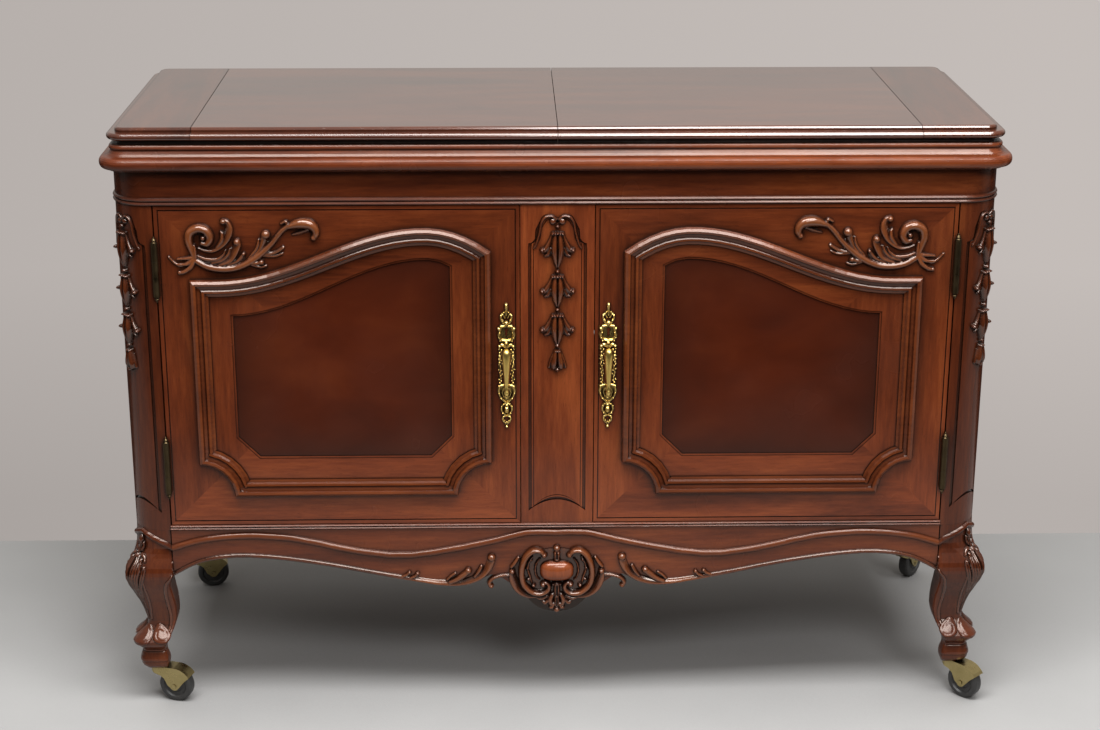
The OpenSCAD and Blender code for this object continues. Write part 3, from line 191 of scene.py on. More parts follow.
def mahogany(name, along, tone=1.0, glaze_shade=0.94, reach=0.024, low=0.17, high=0.30, shaded_at=0.45, polish=0.0,
             ior=1.46, rub_highlight=0.0, shadow_below=None):
    """Lacquered red-brown mahogany, its recesses darkened by glaze_shade toward a dark glazing colour, as
    glazing and painted shade.

    polish is a wax coat over it, and rub_highlight how far its open high spots are lightened toward bare
    wood, as wear and painted highlight. Below the height shadow_below it is painted dark as shadow.
    """
    s = Shader(name)
    dark, mid, light = (tuple(c * tone for c in col) for col in (RED_DARK, RED_MID, RED_LIGHT))
    base, pore = wood_figure(s, along, dark, mid, light)
    sunk = s.hollow(reach, shaded_at)
    if rub_highlight:
        # open high spots lightened toward the colour of bare wood: rubbed wear and painted highlight
        lit_crown = s.spread(sunk, 0.10, 0.0)
        base = s.mix(s.times(lit_crown, rub_highlight), base, colour(RUBBED_HIGHLIGHT))
    # recesses darkened by ambient occlusion toward the dark glazing colour: glazing and painted shade
    recess_shade = s.times(sunk, glaze_shade)
    if shadow_below:
        # below shadow_below the wood is painted dark as shadow
        z = s.apart(s.place)["Z"]
        recess_shade = s.math("MAXIMUM", recess_shade, s.spread(z, shadow_below + 8 * mm, shadow_below))
    s.set(Base_Color=s.mix(recess_shade, base, colour(GLAZE_AND_SHADE)))
    lacquer(s, pore, low, high)
    s.set(IOR=ior, Coat_Weight=polish, Coat_Roughness=0.16, Coat_IOR=1.6)
    return s.mat


def door_veneer(name):
    """Upright and level veneer mitred at the door's corners, with a dark mottled field in the sunk panel; the
    frame is painted lighter towards the bottom as light from the floor, and the field's edges and the
    recesses are darkened as painted shade.
    """
    s = Shader(name)
    lo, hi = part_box("right_door")
    at = s.apart(s.place)
    x = s.math("ABSOLUTE", at["X"])
    z = at["Z"]
    to_side = s.math("MINIMUM", s.less(x, lo.x), s.less(hi.x, x))
    to_end = s.math("MINIMUM", s.less(z, lo.z), s.less(hi.z, z))
    level = s.spread(s.less(to_side, to_end), -0.0006, 0.0006)
    upright, pore = wood_figure(s, "z", RED_DARK, RED_MID, RED_LIGHT)
    across, _ = wood_figure(s, "x", tuple(c * 0.9 for c in RED_DARK), tuple(c * 1.05 for c in RED_MID),
                            tuple(c * 1.05 for c in RED_LIGHT))
    frame_tone = s.mix(level, upright, across)
    # the frame is painted lighter towards the bottom of the door and darker towards the top, as painted light
    # from the floor
    rubbed = s.spread(z, lo.z + 0.02, lo.z + 0.40, 1.30, 0.86)
    frame_tone = s.add("ShaderNodeVectorMath", {0: frame_tone, "Scale": rubbed}, operation="SCALE").outputs[0]
    mottle = s.noise((9, 9, 15), 4.0, 0.55, 0.5)
    cloud = s.noise((4.2, 4.2, 5), 2.0)
    field = s.ramp(s.math("ADD", s.times(mottle, 0.45), s.times(cloud, 0.55)),
                   [(0.30, (0.030, 0.0050, 0.0019)), (0.52, (0.052, 0.0088, 0.0028)),
                    (0.72, (0.082, 0.0160, 0.0044))])

    def from_middle(value, middle, half):
        return s.math("DIVIDE", s.math("ABSOLUTE", s.less(value, middle)), half)

    from_mid_x = from_middle(x, (lo.x + hi.x) / 2 - 2 * mm, 158 * mm)
    from_mid_z = from_middle(z, (lo.z + hi.z) / 2 + 13 * mm, 152 * mm)
    # the field is painted darker towards its edges, as painted shade from its sunk border
    edge_shade = s.math("POWER", s.math("MAXIMUM", from_mid_x, from_mid_z), 2.6, True)
    field = s.mix(s.times(edge_shade, 0.82), field, colour((0.019, 0.0046, 0.0024)))
    sunk = s.spread(at["Y"], lo.y + 1.5 * mm, lo.y + 2.9 * mm)
    # recesses darkened by ambient occlusion toward the dark glazing colour: glazing and painted shade
    recess_shade = s.times(s.math("MAXIMUM", s.hollow(0.030, 0.48), s.hollow(0.008, 0.52, 0.95)), 0.95)
    s.set(Base_Color=s.mix(recess_shade, s.mix(sunk, frame_tone, field), colour(GLAZE_AND_SHADE)))
    lacquer(s, pore)
    return s.mat


def plain_wood(name, along, dark, mid, light, rough=0.5):
    """Unpolished wood or board."""
    s = Shader(name)
    base, pore = wood_figure(s, along, dark, mid, light)
    s.set(Base_Color=base, Roughness=s.between(s.noise((9, 9, 9)), rough * 0.9, rough * 1.15))
    s.bump(s.less(1.0, pore), 0.0002, 0.5)
    return s.mat


def metal(name, base, rough, worn, reach=0.004, filled=0.8):
    """Metal with uneven polish, and recesses darkened as tarnish and painted shade."""
    s = Shader(name)
    patch = s.noise((26, 26, 26), 4.0, 0.65)
    tone = s.mix(s.spread(patch, 0.35, 0.75), colour(base), colour(worn))
    # recesses darkened by ambient occlusion toward near-black: tarnish and painted shade
    dark = colour(tuple(c * 0.10 for c in base))
    s.set(Base_Color=s.mix(s.times(s.hollow(reach), filled), tone, dark), Metallic=1.0)
    s.set(Roughness=s.between(s.noise((60, 60, 60), 3.0), rough * 0.8, rough * 1.4))
    s.bump(s.noise((700, 700, 700), 2.0), 0.00006, 0.3)
    return s.mat


def coated(name, base, second, rough, size=120.0, bump=0.0002, coat=0.0):
    """Paint, plastic, rubber or paper with a fine mottle."""
    s = Shader(name)
    fine = s.noise((size, size, size), 4.0)
    broad = s.noise((11, 11, 11), 3.0)
    both = s.math("ADD", s.times(fine, 0.5), s.times(broad, 0.5))
    s.set(Base_Color=s.ramp(both, [(0.35, base), (0.65, second)]))
    s.set(Roughness=s.between(broad, rough * 0.85, min(rough * 1.2, 1.0)))
    s.set(Coat_Weight=coat, Coat_Roughness=0.1)
    s.bump(fine, bump, 0.5)
    return s.mat


def woven(name):
    """Gold and brown grille cloth on its own UV map."""
    s = Shader(name)
    uv = s.add("ShaderNodeUVMap", uv_map="weave").outputs["UV"]
    at = s.apart(uv)
    threads = 2400.0
    warp = s.math("SINE", s.times(at["X"], threads))
    weft = s.math("SINE", s.times(at["Y"], threads))
    over = s.spread(s.times(warp, weft), -0.4, 0.4)
    band = s.spread(s.math("SINE", s.times(at["X"], 260.0)), 0.55, 0.9)
    thread = s.mix(over, colour((0.115, 0.058, 0.024)), colour((0.34, 0.235, 0.10)))
    s.set(Base_Color=s.mix(s.times(band, 0.6), thread, colour((0.45, 0.34, 0.15))), Roughness=0.72)
    s.set(Sheen_Weight=0.25, Sheen_Roughness=0.4)
    s.bump(over, 0.0003, 0.6)
    return s.mat


wood_x = mahogany("mahogany_level", "x")
wood_z = mahogany("mahogany_upright", "z")
wood_y = mahogany("mahogany_deep", "y")
wood_top = mahogany("mahogany_top", "x", 0.55, 0.7, 0.006, 0.13, 0.17, polish=1.0)
wood_end = mahogany("mahogany_top_end", "y", 0.52, 0.7, 0.006, 0.13, 0.17, polish=0.85)
wood_frieze = mahogany("mahogany_frieze", "x", 0.85)
wood_stile = mahogany("mahogany_stile", "z", 1.18, 0.97, 0.030, shaded_at=0.52)
wood_post = mahogany("mahogany_post", "z", 0.68, 0.97, 0.030, shaded_at=0.52)
wood_leg = mahogany("mahogany_leg", "z", 0.66, 0.96, 0.03)
wood_carved = mahogany("mahogany_carved", "z", 0.70, 0.98, 0.016, 0.10, 0.18, 0.60, ior=1.62, rub_highlight=0.30)
wood_carved_dark = mahogany("mahogany_carved_dark", "z", 0.56, 0.98, 0.018, 0.10, 0.18, 0.62, ior=1.62,
                            rub_highlight=0.05)
wood_mould = mahogany("mahogany_moulding", "x", 0.80, 0.97, 0.020, 0.12, 0.20, 0.52, rub_highlight=0.10)
wood_boss = mahogany("mahogany_boss", "z", 1.9, 0.97, 0.012, 0.10, 0.16, 0.50, rub_highlight=0.2)
# the apron's tail behind the pendant is painted dark as shadow
wood_apron = mahogany("mahogany_apron", "x", shadow_below=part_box("front_apron")[0].z + 40 * mm)
veneer = door_veneer("door_veneer")
inner = plain_wood("inner_wood_tone", "x", (0.10, 0.045, 0.02), (0.20, 0.10, 0.045), (0.30, 0.16, 0.075))
board = plain_wood("pressed_board", "z", (0.09, 0.05, 0.028), (0.14, 0.08, 0.045), (0.19, 0.115, 0.07), 0.7)
bright_brass = metal("cast_brass", (0.74, 0.53, 0.19), 0.22, (0.52, 0.35, 0.11), reach=0.003, filled=0.95)
satin_brass = metal("rubbed_brass", (0.74, 0.53, 0.16), 0.29, (0.60, 0.41, 0.11), reach=0.003, filled=0.5)
fork_brass = metal("lacquered_brass", (0.42, 0.34, 0.16), 0.28, (0.30, 0.24, 0.10), reach=0.008, filled=0.7)
old_brass = metal("antiqued_brass", (0.085, 0.060, 0.030), 0.36, (0.045, 0.032, 0.018))
plated = metal("plated_steel", (0.60, 0.59, 0.57), 0.25, (0.50, 0.49, 0.47))
rubber = coated("black_rubber", (0.012, 0.012, 0.012), (0.024, 0.023, 0.022), 0.45, 300.0)
enamel = coated("hammered_enamel", (0.060, 0.040, 0.026), (0.105, 0.075, 0.050), 0.35, 260.0, 0.0005, 0.3)
bakelite = coated("dark_bakelite_gloss", (0.012, 0.009, 0.008),
                  (0.028, 0.018, 0.014), 0.22, 90.0, 0.00003, 0.4)
knob_bakelite = coated("brown_bakelite_gloss", (0.030, 0.012, 0.007),
                       (0.075, 0.032, 0.016), 0.22, 90.0, 0.00003, 0.4)
dial_paint = coated("cream_dial", (0.40, 0.32, 0.16), (0.46, 0.38, 0.20), 0.4, 200.0, 0.00002)
red_paint = coated("red_pointer", (0.42, 0.02, 0.01), (0.50, 0.035, 0.018), 0.3, 200.0, 0.00002)
tin = coated("chassis_plate", (0.30, 0.30, 0.29), (0.42, 0.42, 0.40), 0.38, 160.0, 0.0002)
pulp = coated("pulp_paper", (0.022, 0.020, 0.018), (0.045, 0.041, 0.036), 0.85, 500.0, 0.0006)

finishes = {
    wood_x: ["case_floor", "radio_panel", "cornice"],
    wood_apron: ["front_apron"],
    wood_mould: ["left_door_moulding", "right_door_moulding"],
    wood_y: ["side_rear_aprons"],
    wood_z: ["side_panels"],
    wood_stile: ["centre_stile"],
    wood_post: ["corner_posts"],
    wood_leg: [f"{corner}_leg" for corner in CORNERS],
    wood_top: ["left_lid", "right_lid"],
    wood_end: ["fixed_top_ends"],
    wood_frieze: ["top_rails"],
    wood_carved: ["apron_cartouche"],
    veneer: ["left_door", "right_door"],
    inner: ["centre_partition", "motor_board", "speaker_baffle", "record_rack"],
    board: ["back_panel"],
    bright_brass: ["left_pull", "right_pull"],
    fork_brass: [f"{corner}_fork" for corner in CORNERS],
    old_brass: ["lid_hinge_seats", "left_lid_leaves", "right_lid_leaves", "left_door_leaves",
                "right_door_leaves", "door_hinge_posts", "lock_case"],
    plated: ["lock_bolt", "spindle", "arm_yoke"],
    rubber: [f"{corner}_wheel" for corner in CORNERS],
    enamel: ["changer_plate", "platter", "arm_base"],
    bakelite: ["tonearm", "changer_knob"],
    knob_bakelite: ["tuning_knob", "volume_knob", "tone_knob"],
    dial_paint: ["dial_face"],
    red_paint: ["dial_pointer"],
    tin: ["radio_chassis", "speaker_frame"],
    pulp: ["speaker_cone"],
}
for finish, names in finishes.items():
    for name in names:
        nodes[name].data.materials.clear()
        nodes[name].data.materials.append(finish)

# ---- making pieces


def deselect():
    if bpy.context.object and bpy.context.object.mode != "OBJECT":
        bpy.ops.object.mode_set(mode="OBJECT")
    bpy.ops.object.select_all(action="DESELECT")


def joined(pieces):
    """The pieces joined into the first."""
    deselect()
    for piece in pieces:
        piece.select_set(True)
    bpy.context.view_layer.objects.active = pieces[0]
    bpy.ops.object.join()
    return pieces[0]


def triples(items, key="co"):
    """A row of three numbers for each item, such as the place of each corner of a mesh."""
    rows = np.empty(len(items) * 3)
    items.foreach_get(key, rows)
    return rows.reshape(-1, 3)


def put_points(mesh, rows):
    mesh.vertices.foreach_set("co", rows.ravel())
    mesh.update()


def grid(columns, rows):
    """A flat grid of quads, and how far across and up each of its corners lies, from 0 to 1."""
    deselect()
    bpy.ops.mesh.primitive_grid_add(x_subdivisions=columns, y_subdivisions=rows, size=1.0)
    obj = bpy.context.object
    co = triples(obj.data.vertices)
    return obj, co[:, 0] + 0.5, co[:, 1] + 0.5


def face_outward():
    """Turns the faces of the active mesh outward and leaves it in object mode."""
    bpy.ops.object.mode_set(mode="EDIT")
    bpy.ops.mesh.select_all(action="SELECT")
    bpy.ops.mesh.normals_make_consistent(inside=False)
    bpy.ops.object.mode_set(mode="OBJECT")


def surface(names):
    """A tree of the faces of CAD nodes, to find where a line meets them."""
    co, faces = [], []
    for name in names:
        mesh = nodes[name].data
        base = len(co)
        co += [v.co.copy() for v in mesh.vertices]
        faces += [[base + k for k in p.vertices] for p in mesh.polygons]
    return BVHTree.FromPolygons(co, faces)


def done(obj, name, body, material, smooth=40):
    """Names a finished piece, gives it its material and slot, and rides it on its body."""
    deselect()
    obj.name = obj.data.name = name
    obj.select_set(True)
    bpy.context.view_layer.objects.active = obj
    bpy.ops.object.transform_apply()
    bpy.ops.object.shade_smooth_by_angle(angle=math.radians(smooth))
    obj.data.materials.clear()
    obj.data.materials.append(material)
    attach(obj, body)
    return obj


def smooth_rows(rows, n=8):
    """Rows of numbers joined by a smooth curve through all of them."""
    p = np.array(rows, float)
    q = np.vstack([2 * p[0] - p[1], p, 2 * p[-1] - p[-2]])
    made = []
    for a, b, c, d in zip(q[:-3], q[1:-2], q[2:-1], q[3:]):
        for t in np.linspace(0, 1, n, endpoint=False):
            made.append(0.5 * (2 * b + (c - a) * t + (2 * a - 5 * b + 4 * c - d) * t ** 2
                               + (3 * b - a - 3 * c + d) * t ** 3))
    return np.array(made + [p[-1]])


# how steeply the ground falls away beside a stroke, and the height in mm at which it is cut off
FALL = 2.2
BED = -2.0


def stroke(u, v, rows, shape="round", n=8):
    """Height over the ground of one carved stroke. Each row is across, up, half width, height, in mm.

    A round stroke is a half round, a veined one has a groove along it, and a left or right one is higher on
    that side of its path. n is the number of steps between two rows.
    """
    path = smooth_rows(rows, n)
    best = np.full(u.shape, 99.0)
    side = np.zeros(u.shape)
    high = np.zeros(u.shape)
    wide = np.ones(u.shape)
    for a, b in zip(path[:-1], path[1:]):
        d = b[:2] - a[:2]
        length2 = float(d @ d)
        if length2 < 1e-9:
            continue
        t = np.clip(((u - a[0]) * d[0] + (v - a[1]) * d[1]) / length2, 0, 1)
        w = np.maximum(a[2] + (b[2] - a[2]) * t, 0.3)
        off_u, off_v = u - a[0] - t * d[0], v - a[1] - t * d[1]
        q = np.hypot(off_u, off_v) / w
        near = q < best
        best = np.where(near, q, best)
        high = np.where(near, a[3] + (b[3] - a[3]) * t, high)
        wide = np.where(near, w, wide)
        side = np.where(near, (off_v * d[0] - off_u * d[1]) / math.sqrt(length2) / w, side)
    q = np.minimum(best, 1.0)
    form = np.sqrt(1 - q * q)
    if shape == "veined":
        form = form * (1 - 0.42 * np.exp(-(q / 0.22) ** 2))
    elif shape == "left":
        form = form * (0.62 + 0.38 * side)
    elif shape == "right":
        form = form * (0.62 - 0.38 * side)
    return np.where(best < 1, high * form, -(best - 1) * wide * FALL)


def knob(u, v, cu, cv, r, h):
    q = np.hypot(u - cu, v - cv) / r
    return np.where(q < 1, h * np.sqrt(1 - np.minimum(q, 1) ** 2), -(q - 1) * r * FALL)


def shaped(item):
    """A stroke as (rows, shape). One given as rows alone is round."""
    return item if isinstance(item, tuple) else (item, "round")


def carving(u, v, strokes, knobs):
    """Height over the ground of strokes and round knobs, each (across, up, radius, height) in mm."""
    ground = np.full(u.shape, BED)
    for rows, shape in map(shaped, strokes):
        ground = np.maximum(ground, stroke(u, v, rows, shape))
    for cu, cv, r, h in knobs:
        ground = np.maximum(ground, knob(u, v, cu, cv, r, h))
    return ground


def mirrored(strokes, knobs):
    """Strokes and knobs, and the same mirrored across u = 0."""
    swap = {"left": "right", "right": "left"}
    strokes = [shaped(item) for item in strokes]
    other = [([[-r[0], *r[1:]] for r in rows], swap.get(shape, shape)) for rows, shape in strokes]
    return strokes + other, list(knobs) + [(-k[0], *k[1:]) for k in knobs]


def relief(name, body, material, u_range, v_range, pitch, heights, place, back):
    """A closed carved piece: a fine grid raised by heights(u, v), trimmed to the carving, with a sunk back.

    heights is a function, or the strokes and knobs of a carving. place puts across, up and height in space.
    """
    if not callable(heights):
        strokes, knobs = heights
        heights = lambda u, v: carving(u, v, strokes, knobs)
    wide, high = u_range[1] - u_range[0], v_range[1] - v_range[0]
    obj, across, up = grid(int(wide / pitch), int(high / pitch))
    mesh = obj.data
    u, v = u_range[0] + across * wide, v_range[0] + up * high
    h = np.maximum(heights(u, v), BED)
    spots = mesh.attributes.new("spot", "FLOAT_VECTOR", "POINT")
    spots.data.foreach_set("vector", np.column_stack([u, v, h]).ravel())
    put_points(mesh, place(u, v, h))
    bpy.ops.object.mode_set(mode="EDIT")
    bpy.ops.mesh.select_mode(type="VERT")
    bpy.ops.mesh.select_all(action="DESELECT")
    bpy.ops.object.mode_set(mode="OBJECT")
    mesh.vertices.foreach_set("select", h <= BED + 0.01)
    bpy.ops.object.mode_set(mode="EDIT")
    bpy.ops.mesh.delete(type="VERT")
    bpy.ops.mesh.select_all(action="SELECT")
    bpy.ops.mesh.extrude_region_move()
    bpy.ops.object.mode_set(mode="OBJECT")
    # the extruded copy is still selected, and goes to the back
    chosen = np.empty(len(mesh.vertices), bool)
    mesh.vertices.foreach_get("select", chosen)
    spot = triples(mesh.attributes["spot"].data, "vector")[chosen]
    co = triples(mesh.vertices)
    co[chosen] = place(spot[:, 0], spot[:, 1], np.full(len(spot), back))
    mesh.attributes.remove(mesh.attributes["spot"])
    put_points(mesh, co)
    face_outward()
    return done(obj, name, body, material, 60)


def on_front(cx, cz, sx=1):
    """Places a carving flat on the front, its middle at (cx, cz) in metres."""
    def place(u, v, h):
        return np.column_stack([cx + sx * u * mm, front_y - h * mm, cz + v * mm])
    return place


# ---- camera, light and room

eye = Vector((-0.0722, front_y - 2.8001, 1.4791))
deselect()
bpy.ops.object.camera_add(location=eye, rotation=(math.radians(71.247), math.radians(-0.08),
                                                  math.radians(-1.24)))
camera = bpy.context.object
camera.data.lens = 68.49
camera.data.sensor_width = 36.0
camera.data.clip_start = 0.05
camera.data.clip_end = 60.0
bpy.context.scene.camera = camera
bpy.context.scene.view_settings.view_transform = "Standard"


def floor():
    """A pale paper floor, cut off straight a little behind the case, with painted shadow where the case
    shades it.
    """
    back_edge, deep = 0.389, 1.6
    s = Shader("paper_floor")
    worn = s.noise((3, 3, 3), 5.0)
    paper = s.ramp(worn, [(0.3, (0.318, 0.316, 0.313)), (0.7, (0.345, 0.342, 0.338))])
    # painted shadow: the floor darkened by ambient occlusion under and around the case
    under = s.times(s.hollow(0.40, 0.30, 0.95), 0.6)
    s.set(Base_Color=s.mix(under, paper, colour((0.085, 0.080, 0.078))))
    s.set(Roughness=s.between(worn, 0.62, 0.75))
    deselect()
    bpy.ops.mesh.primitive_plane_add(size=1.0, location=(0, back_edge - deep / 2, 0))
    plane = bpy.context.object
    plane.scale = (9, deep, 1)
    bpy.ops.object.transform_apply()
    plane.name = "floor"
    plane.data.materials.append(s.mat)


def lamp(name, at, aim, size, power):
    deselect()
    bpy.ops.object.light_add(type="AREA", location=at)
    light = bpy.context.object
    light.name = name
    light.data.shape = "RECTANGLE"
    light.data.size, light.data.size_y = size
    light.data.energy = power
    light.rotation_euler = (Vector(aim) - Vector(at)).to_track_quat("-Z", "Y").to_euler()


def studio():
    """Soft light from above that fades to dark at the skyline, and a pale warm wall seen behind the object,
    painted darker near the floor and lighter to the right.
    """
    world = bpy.data.worlds.new("studio")
    bpy.context.scene.world = world
    world.use_nodes = True
    s = Nodes(world.node_tree)
    ray = s.add("ShaderNodeLightPath").outputs
    way = s.apart(s.add("ShaderNodeTexCoord").outputs["Generated"])
    # the wall behind keeps low light off all but the polish, which mirrors it
    matt = s.spread(ray["Is Glossy Ray"], 0.0, 1.0, 0.5, -0.25)
    rise = s.less(way["Z"], s.times(s.spread(way["Y"], 0.1, 0.7), matt))
    light = s.add("ShaderNodeBackground", {"Color": (0.84, 0.80, 0.75, 1),
                                           "Strength": s.spread(rise, 0.0, 0.5, 0.03, 0.66)})
    # painted light on the wall seen behind: darker near the floor and lighter to the right
    level = s.times(s.spread(way["Z"], -0.37, -0.27, 0.84, 1.0), s.spread(way["X"], -0.25, 0.25, 0.97, 1.14))
    wall = s.add("ShaderNodeBackground", {"Color": (0.485, 0.445, 0.423, 1), "Strength": level})
    both = s.add("ShaderNodeMixShader", {0: ray["Is Camera Ray"], 1: light.outputs[0], 2: wall.outputs[0]})
    s.put(s.tree.nodes["World Output"].inputs["Surface"], both.outputs[0])


floor()
studio()
lamp("overhead", (0.05, -0.95, 2.35), (0, -0.25, 0.4), (2.6, 0.72), 100)
lamp("front_high", (0.9, -3.2, 2.9), (0.15, 0, 0.45), (1.8, 0.9), 84)

# ---- door scrolls
# Drawn for the left door, across and up from a point inside its top outer corner

scroll_at = (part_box("left_door")[0].x + 56 * mm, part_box("left_door")[1].z - 61 * mm)
SCROLL = [
    # the volute
    [(-3, -10, 4, 5), (-6.5, 2, 5, 7), (-9, 14, 6.2, 9), (-6, 25, 6.8, 10), (4.5, 30.5, 7, 10.5),
     (15, 27.5, 6.8, 10), (20.5, 17.5, 6.4, 9.5), (16.5, 9, 5.4, 8.5), (9, 9.5, 3.6, 7)],
    [(-1.5, -14, 3.4, 4.5), (-1.5, -2, 3.2, 6), (-2, 6, 2.4, 5.5)],
    # the horn to the right of it
    ([(4, 2, 2, 4), (14, -1, 3, 5.5), (25, -0.5, 3.8, 6.5), (37.5, 8.5, 5.4, 7.5), (45, 20, 6.4, 9),
      (47, 31, 5.8, 9), (44, 38.5, 5, 8), (40, 40, 4.4, 7)], "right"),
    [(29, 3, 3, 4.5), (36, 13, 4, 6.5), (37.5, 22, 3.4, 6), (36, 25, 2.6, 5)],
    # the stem that sweeps from under the volute up to the right
    [(-4, -13, 3.4, 4.5), (3, -18.5, 4.4, 5), (17, -25.5, 5, 6), (36, -28.5, 5.4, 6.5), (56, -26, 5.4, 6.5),
     (75, -17, 5.4, 6), (89, -7, 5, 5.5), (105, 8.5, 4.4, 5.5), (118, 24.5, 4, 5.5), (128, 33, 4, 6)],
    [(126, 31, 3.4, 6), (132, 33.5, 5, 8), (140, 36, 7, 9.5), (149, 37, 8.2, 10.5), (158.5, 35.5, 7.6, 10.5),
     (165, 29.5, 6.2, 9.5), (166.5, 22, 5.2, 8.5), (163, 16.5, 4.2, 7)],
    # lobes of the leaf under the volute
    ([(3, -11, 3.6, 5.5), (13, -15, 4.6, 7), (28, -15.5, 4.2, 6.5), (38, -8.5, 3, 4.5),
      (41, -2, 2, 3)], "left"),
    ([(22, -21, 3.4, 5), (36, -17, 3.6, 5.5), (45, -8, 3.6, 6), (48, 0, 2.8, 4.5)], "left"),
    ([(32, -22, 3.4, 5), (46, -16, 4.4, 6.5), (53, -5, 5.6, 8), (57, 6, 6, 9), (57, 11, 5.6, 8.5)], "right"),
    ([(44, -24, 3.4, 5), (57, -18.5, 4.4, 6.5), (65, -9, 4, 6.5), (65.5, -6, 3, 5.5)], "left"),
    # the ragged tail to the left
    [(-4, -11, 4, 5), (-12, -12.5, 3.2, 4.5), (-26, -14, 1.8, 2.5)],
    [(-5, -14, 4, 5), (-13, -20.5, 3.4, 5), (-26, -21.5, 2.4, 3.5)],
    [(-4, -16, 4, 5), (-8, -24.5, 4, 5.5), (-17, -31.5, 3.6, 5.5), (-24, -33, 3, 4.5)],
    [(-9, -17, 3.4, 4.5), (-21, -23, 2.6, 3.5), (-30, -19, 2.2, 3), (-38, -10.5, 1.8, 3)],
    # leaves along the stem
    ([(80, -12, 3.4, 5), (89, -1.5, 4, 6), (94.5, 11, 5.2, 7), (97, 20, 6.6, 8)], "left"),
    ([(73, -14, 3, 4.5), (83, -2, 3.2, 5), (87.5, 8, 3.2, 5.5), (88, 13, 2.6, 4.5)], "left"),
    ([(97, -1, 3.2, 5), (105, 9, 3.4, 5.5), (107.5, 15, 2.8, 4.5)], "left"),
    [(72, -19, 3, 4.5), (82, -20, 3.4, 5), (89, -18.5, 3.6, 5.5)],
    [(76, -22, 2.6, 3.5), (88, -25.5, 2.8, 3.6), (96, -24, 2.2, 3)],
    ([(95, -7, 3, 4), (108, -4.5, 3.2, 4.5), (120, 2.5, 3, 5)], "right"),
    ([(92, -9, 2.4, 3.5), (108, -9.5, 2.6, 3.5), (119, -6, 2, 3)], "right"),
    [(128, 34, 3, 5), (125.5, 39.5, 2.8, 5), (119, 36.5, 2.2, 3.5)],
    ([(156, 27, 3.2, 5), (144, 23, 3.2, 5), (134, 20.5, 2, 3.5)], "right"),
]
SCROLL_KNOBS = [(11, 17, 5, 9), (89.5, -18.5, 4.6, 6.5), (-24, -33, 3.4, 5), (39.5, 40, 5, 8.5),
                (57, 11, 5.8, 9), (97.2, 21, 7, 8.5), (163, 16.5, 4.8, 8), (65.5, -6.5, 3.4, 6)]


def door_scroll(side, sx):
    relief(f"{side}_door_scroll", f"{side}_door", wood_carved, (-48, 178), (-38, 54), 0.75,
           (SCROLL, SCROLL_KNOBS), on_front(-sx * scroll_at[0], scroll_at[1], -sx), -1.6)


for side, sx in SIDES:
    door_scroll(side, sx)

# ---- husk drops

husks_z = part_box("centre_stile")[1].z - 62 * mm


def husk(top, high, w, strokes, knobs):
    """One bell: a split bud under a beaded band, and a hollow leaf that curls out beside it."""
    def row(across, down, half, rise):
        return (across * w, top - down * high, half * min(w * 1.05, 1.0), rise)
    strokes += [
        [row(2.8, 0.03, 3.2, 7.5), row(3.7, 0.28, 4.5, 9.5), row(4.1, 0.50, 4.9, 10), row(3.0, 0.78, 3.7, 8),
         row(0.9, 1.0, 1.6, 4.5)],
        ([row(6.5, 0.05, 3.2, 5), row(9.0, 0.24, 4.6, 5.5), row(13.0, 0.42, 5.4, 6.5),
          row(18.0, 0.53, 4.4, 7), row(21.5, 0.51, 3.2, 8)], "left"),
        ([row(8.5, 0.48, 3.6, 4.5), row(12.5, 0.64, 3.6, 5), row(17.0, 0.68, 2.4, 5.5)], "left"),
        [row(0, 0.01, 2.4, 6.5), row(7.0, 0.01, 2.4, 6)],
    ]
    knobs += [(0, top + 0.8, 2.4, 10.5), (3.6 * w, top + 0.8, 2.3, 10), (7.0 * w, top + 0.4, 2.4, 9.5),
              (21.5 * w, top - 0.49 * high, 3.4, 9)]


def husks(name, w, bow, knot, half, place):
    """A drop of three bells and a bud under a ribbon bow, w times as wide as the widest."""
    strokes, knobs = [bow], [knot]
    for top, high in ((21, 48), (-41, 43), (-98, 42)):
        husk(top, high, w, strokes, knobs)
    strokes += [[(2.2 * w, -150, 3.0, 7), (3.4 * w, -160, 4.2, 8.5), (4.6 * w, -169, 4.8, 8.5),
                 (5 * w, -174, 3.8, 7)],
                ([(5.5 * w, -156, 2.6, 4), (8.5 * w, -166, 3.2, 5), (11 * w, -174, 2.6, 5)], "left")]
    knobs += [(0, -149.5, 2.0, 9), (3.1 * w, -149.5, 1.9, 8.5)]
    strokes, knobs = mirrored(strokes, knobs)
    # the beads between the bells and the last bell's clapper
    for z, r, h in ((31, 3, 6), (-33.5, 3.2, 7), (-89, 3.1, 7), (-142, 3, 6.5), (-177, 3.6, 8)):
        knobs.append((0, z, r, h))
    relief(name, "cabinet", wood_carved_dark, (-half, half), (-186, 52), 0.7, (strokes, knobs), place, -1.4)


husks("centre_husks", 1.0, [(1.5, 41, 1.8, 3.5), (8, 45.5, 2.2, 4.4), (17, 44, 2.2, 4.4), (22.5, 36, 2, 4),
                            (25, 22, 1.8, 3.6), (29.5, 6, 1.7, 3.2), (33, 0, 1.6, 3)],
      (6.5, 38, 5, 4.6), 36, on_front(0, husks_z))


def round_corner(sx, cz):
    """Places a carving round a front corner post, across from the middle of the corner."""
    def place(u, v, h):
        a = np.radians(-45) + np.clip(u, -CORNER_HALF, CORNER_HALF) * mm / corner_r
        over = np.maximum(np.abs(u) - CORNER_HALF, 0) * mm
        r = corner_r + h * mm
        x = half_w - corner_r + r * np.cos(a) - np.where(u < 0, over, 0)
        y = front_y + corner_r + r * np.sin(a) + np.where(u > 0, over, 0)
        return np.column_stack([sx * x, y, cz + v * mm])
    return place


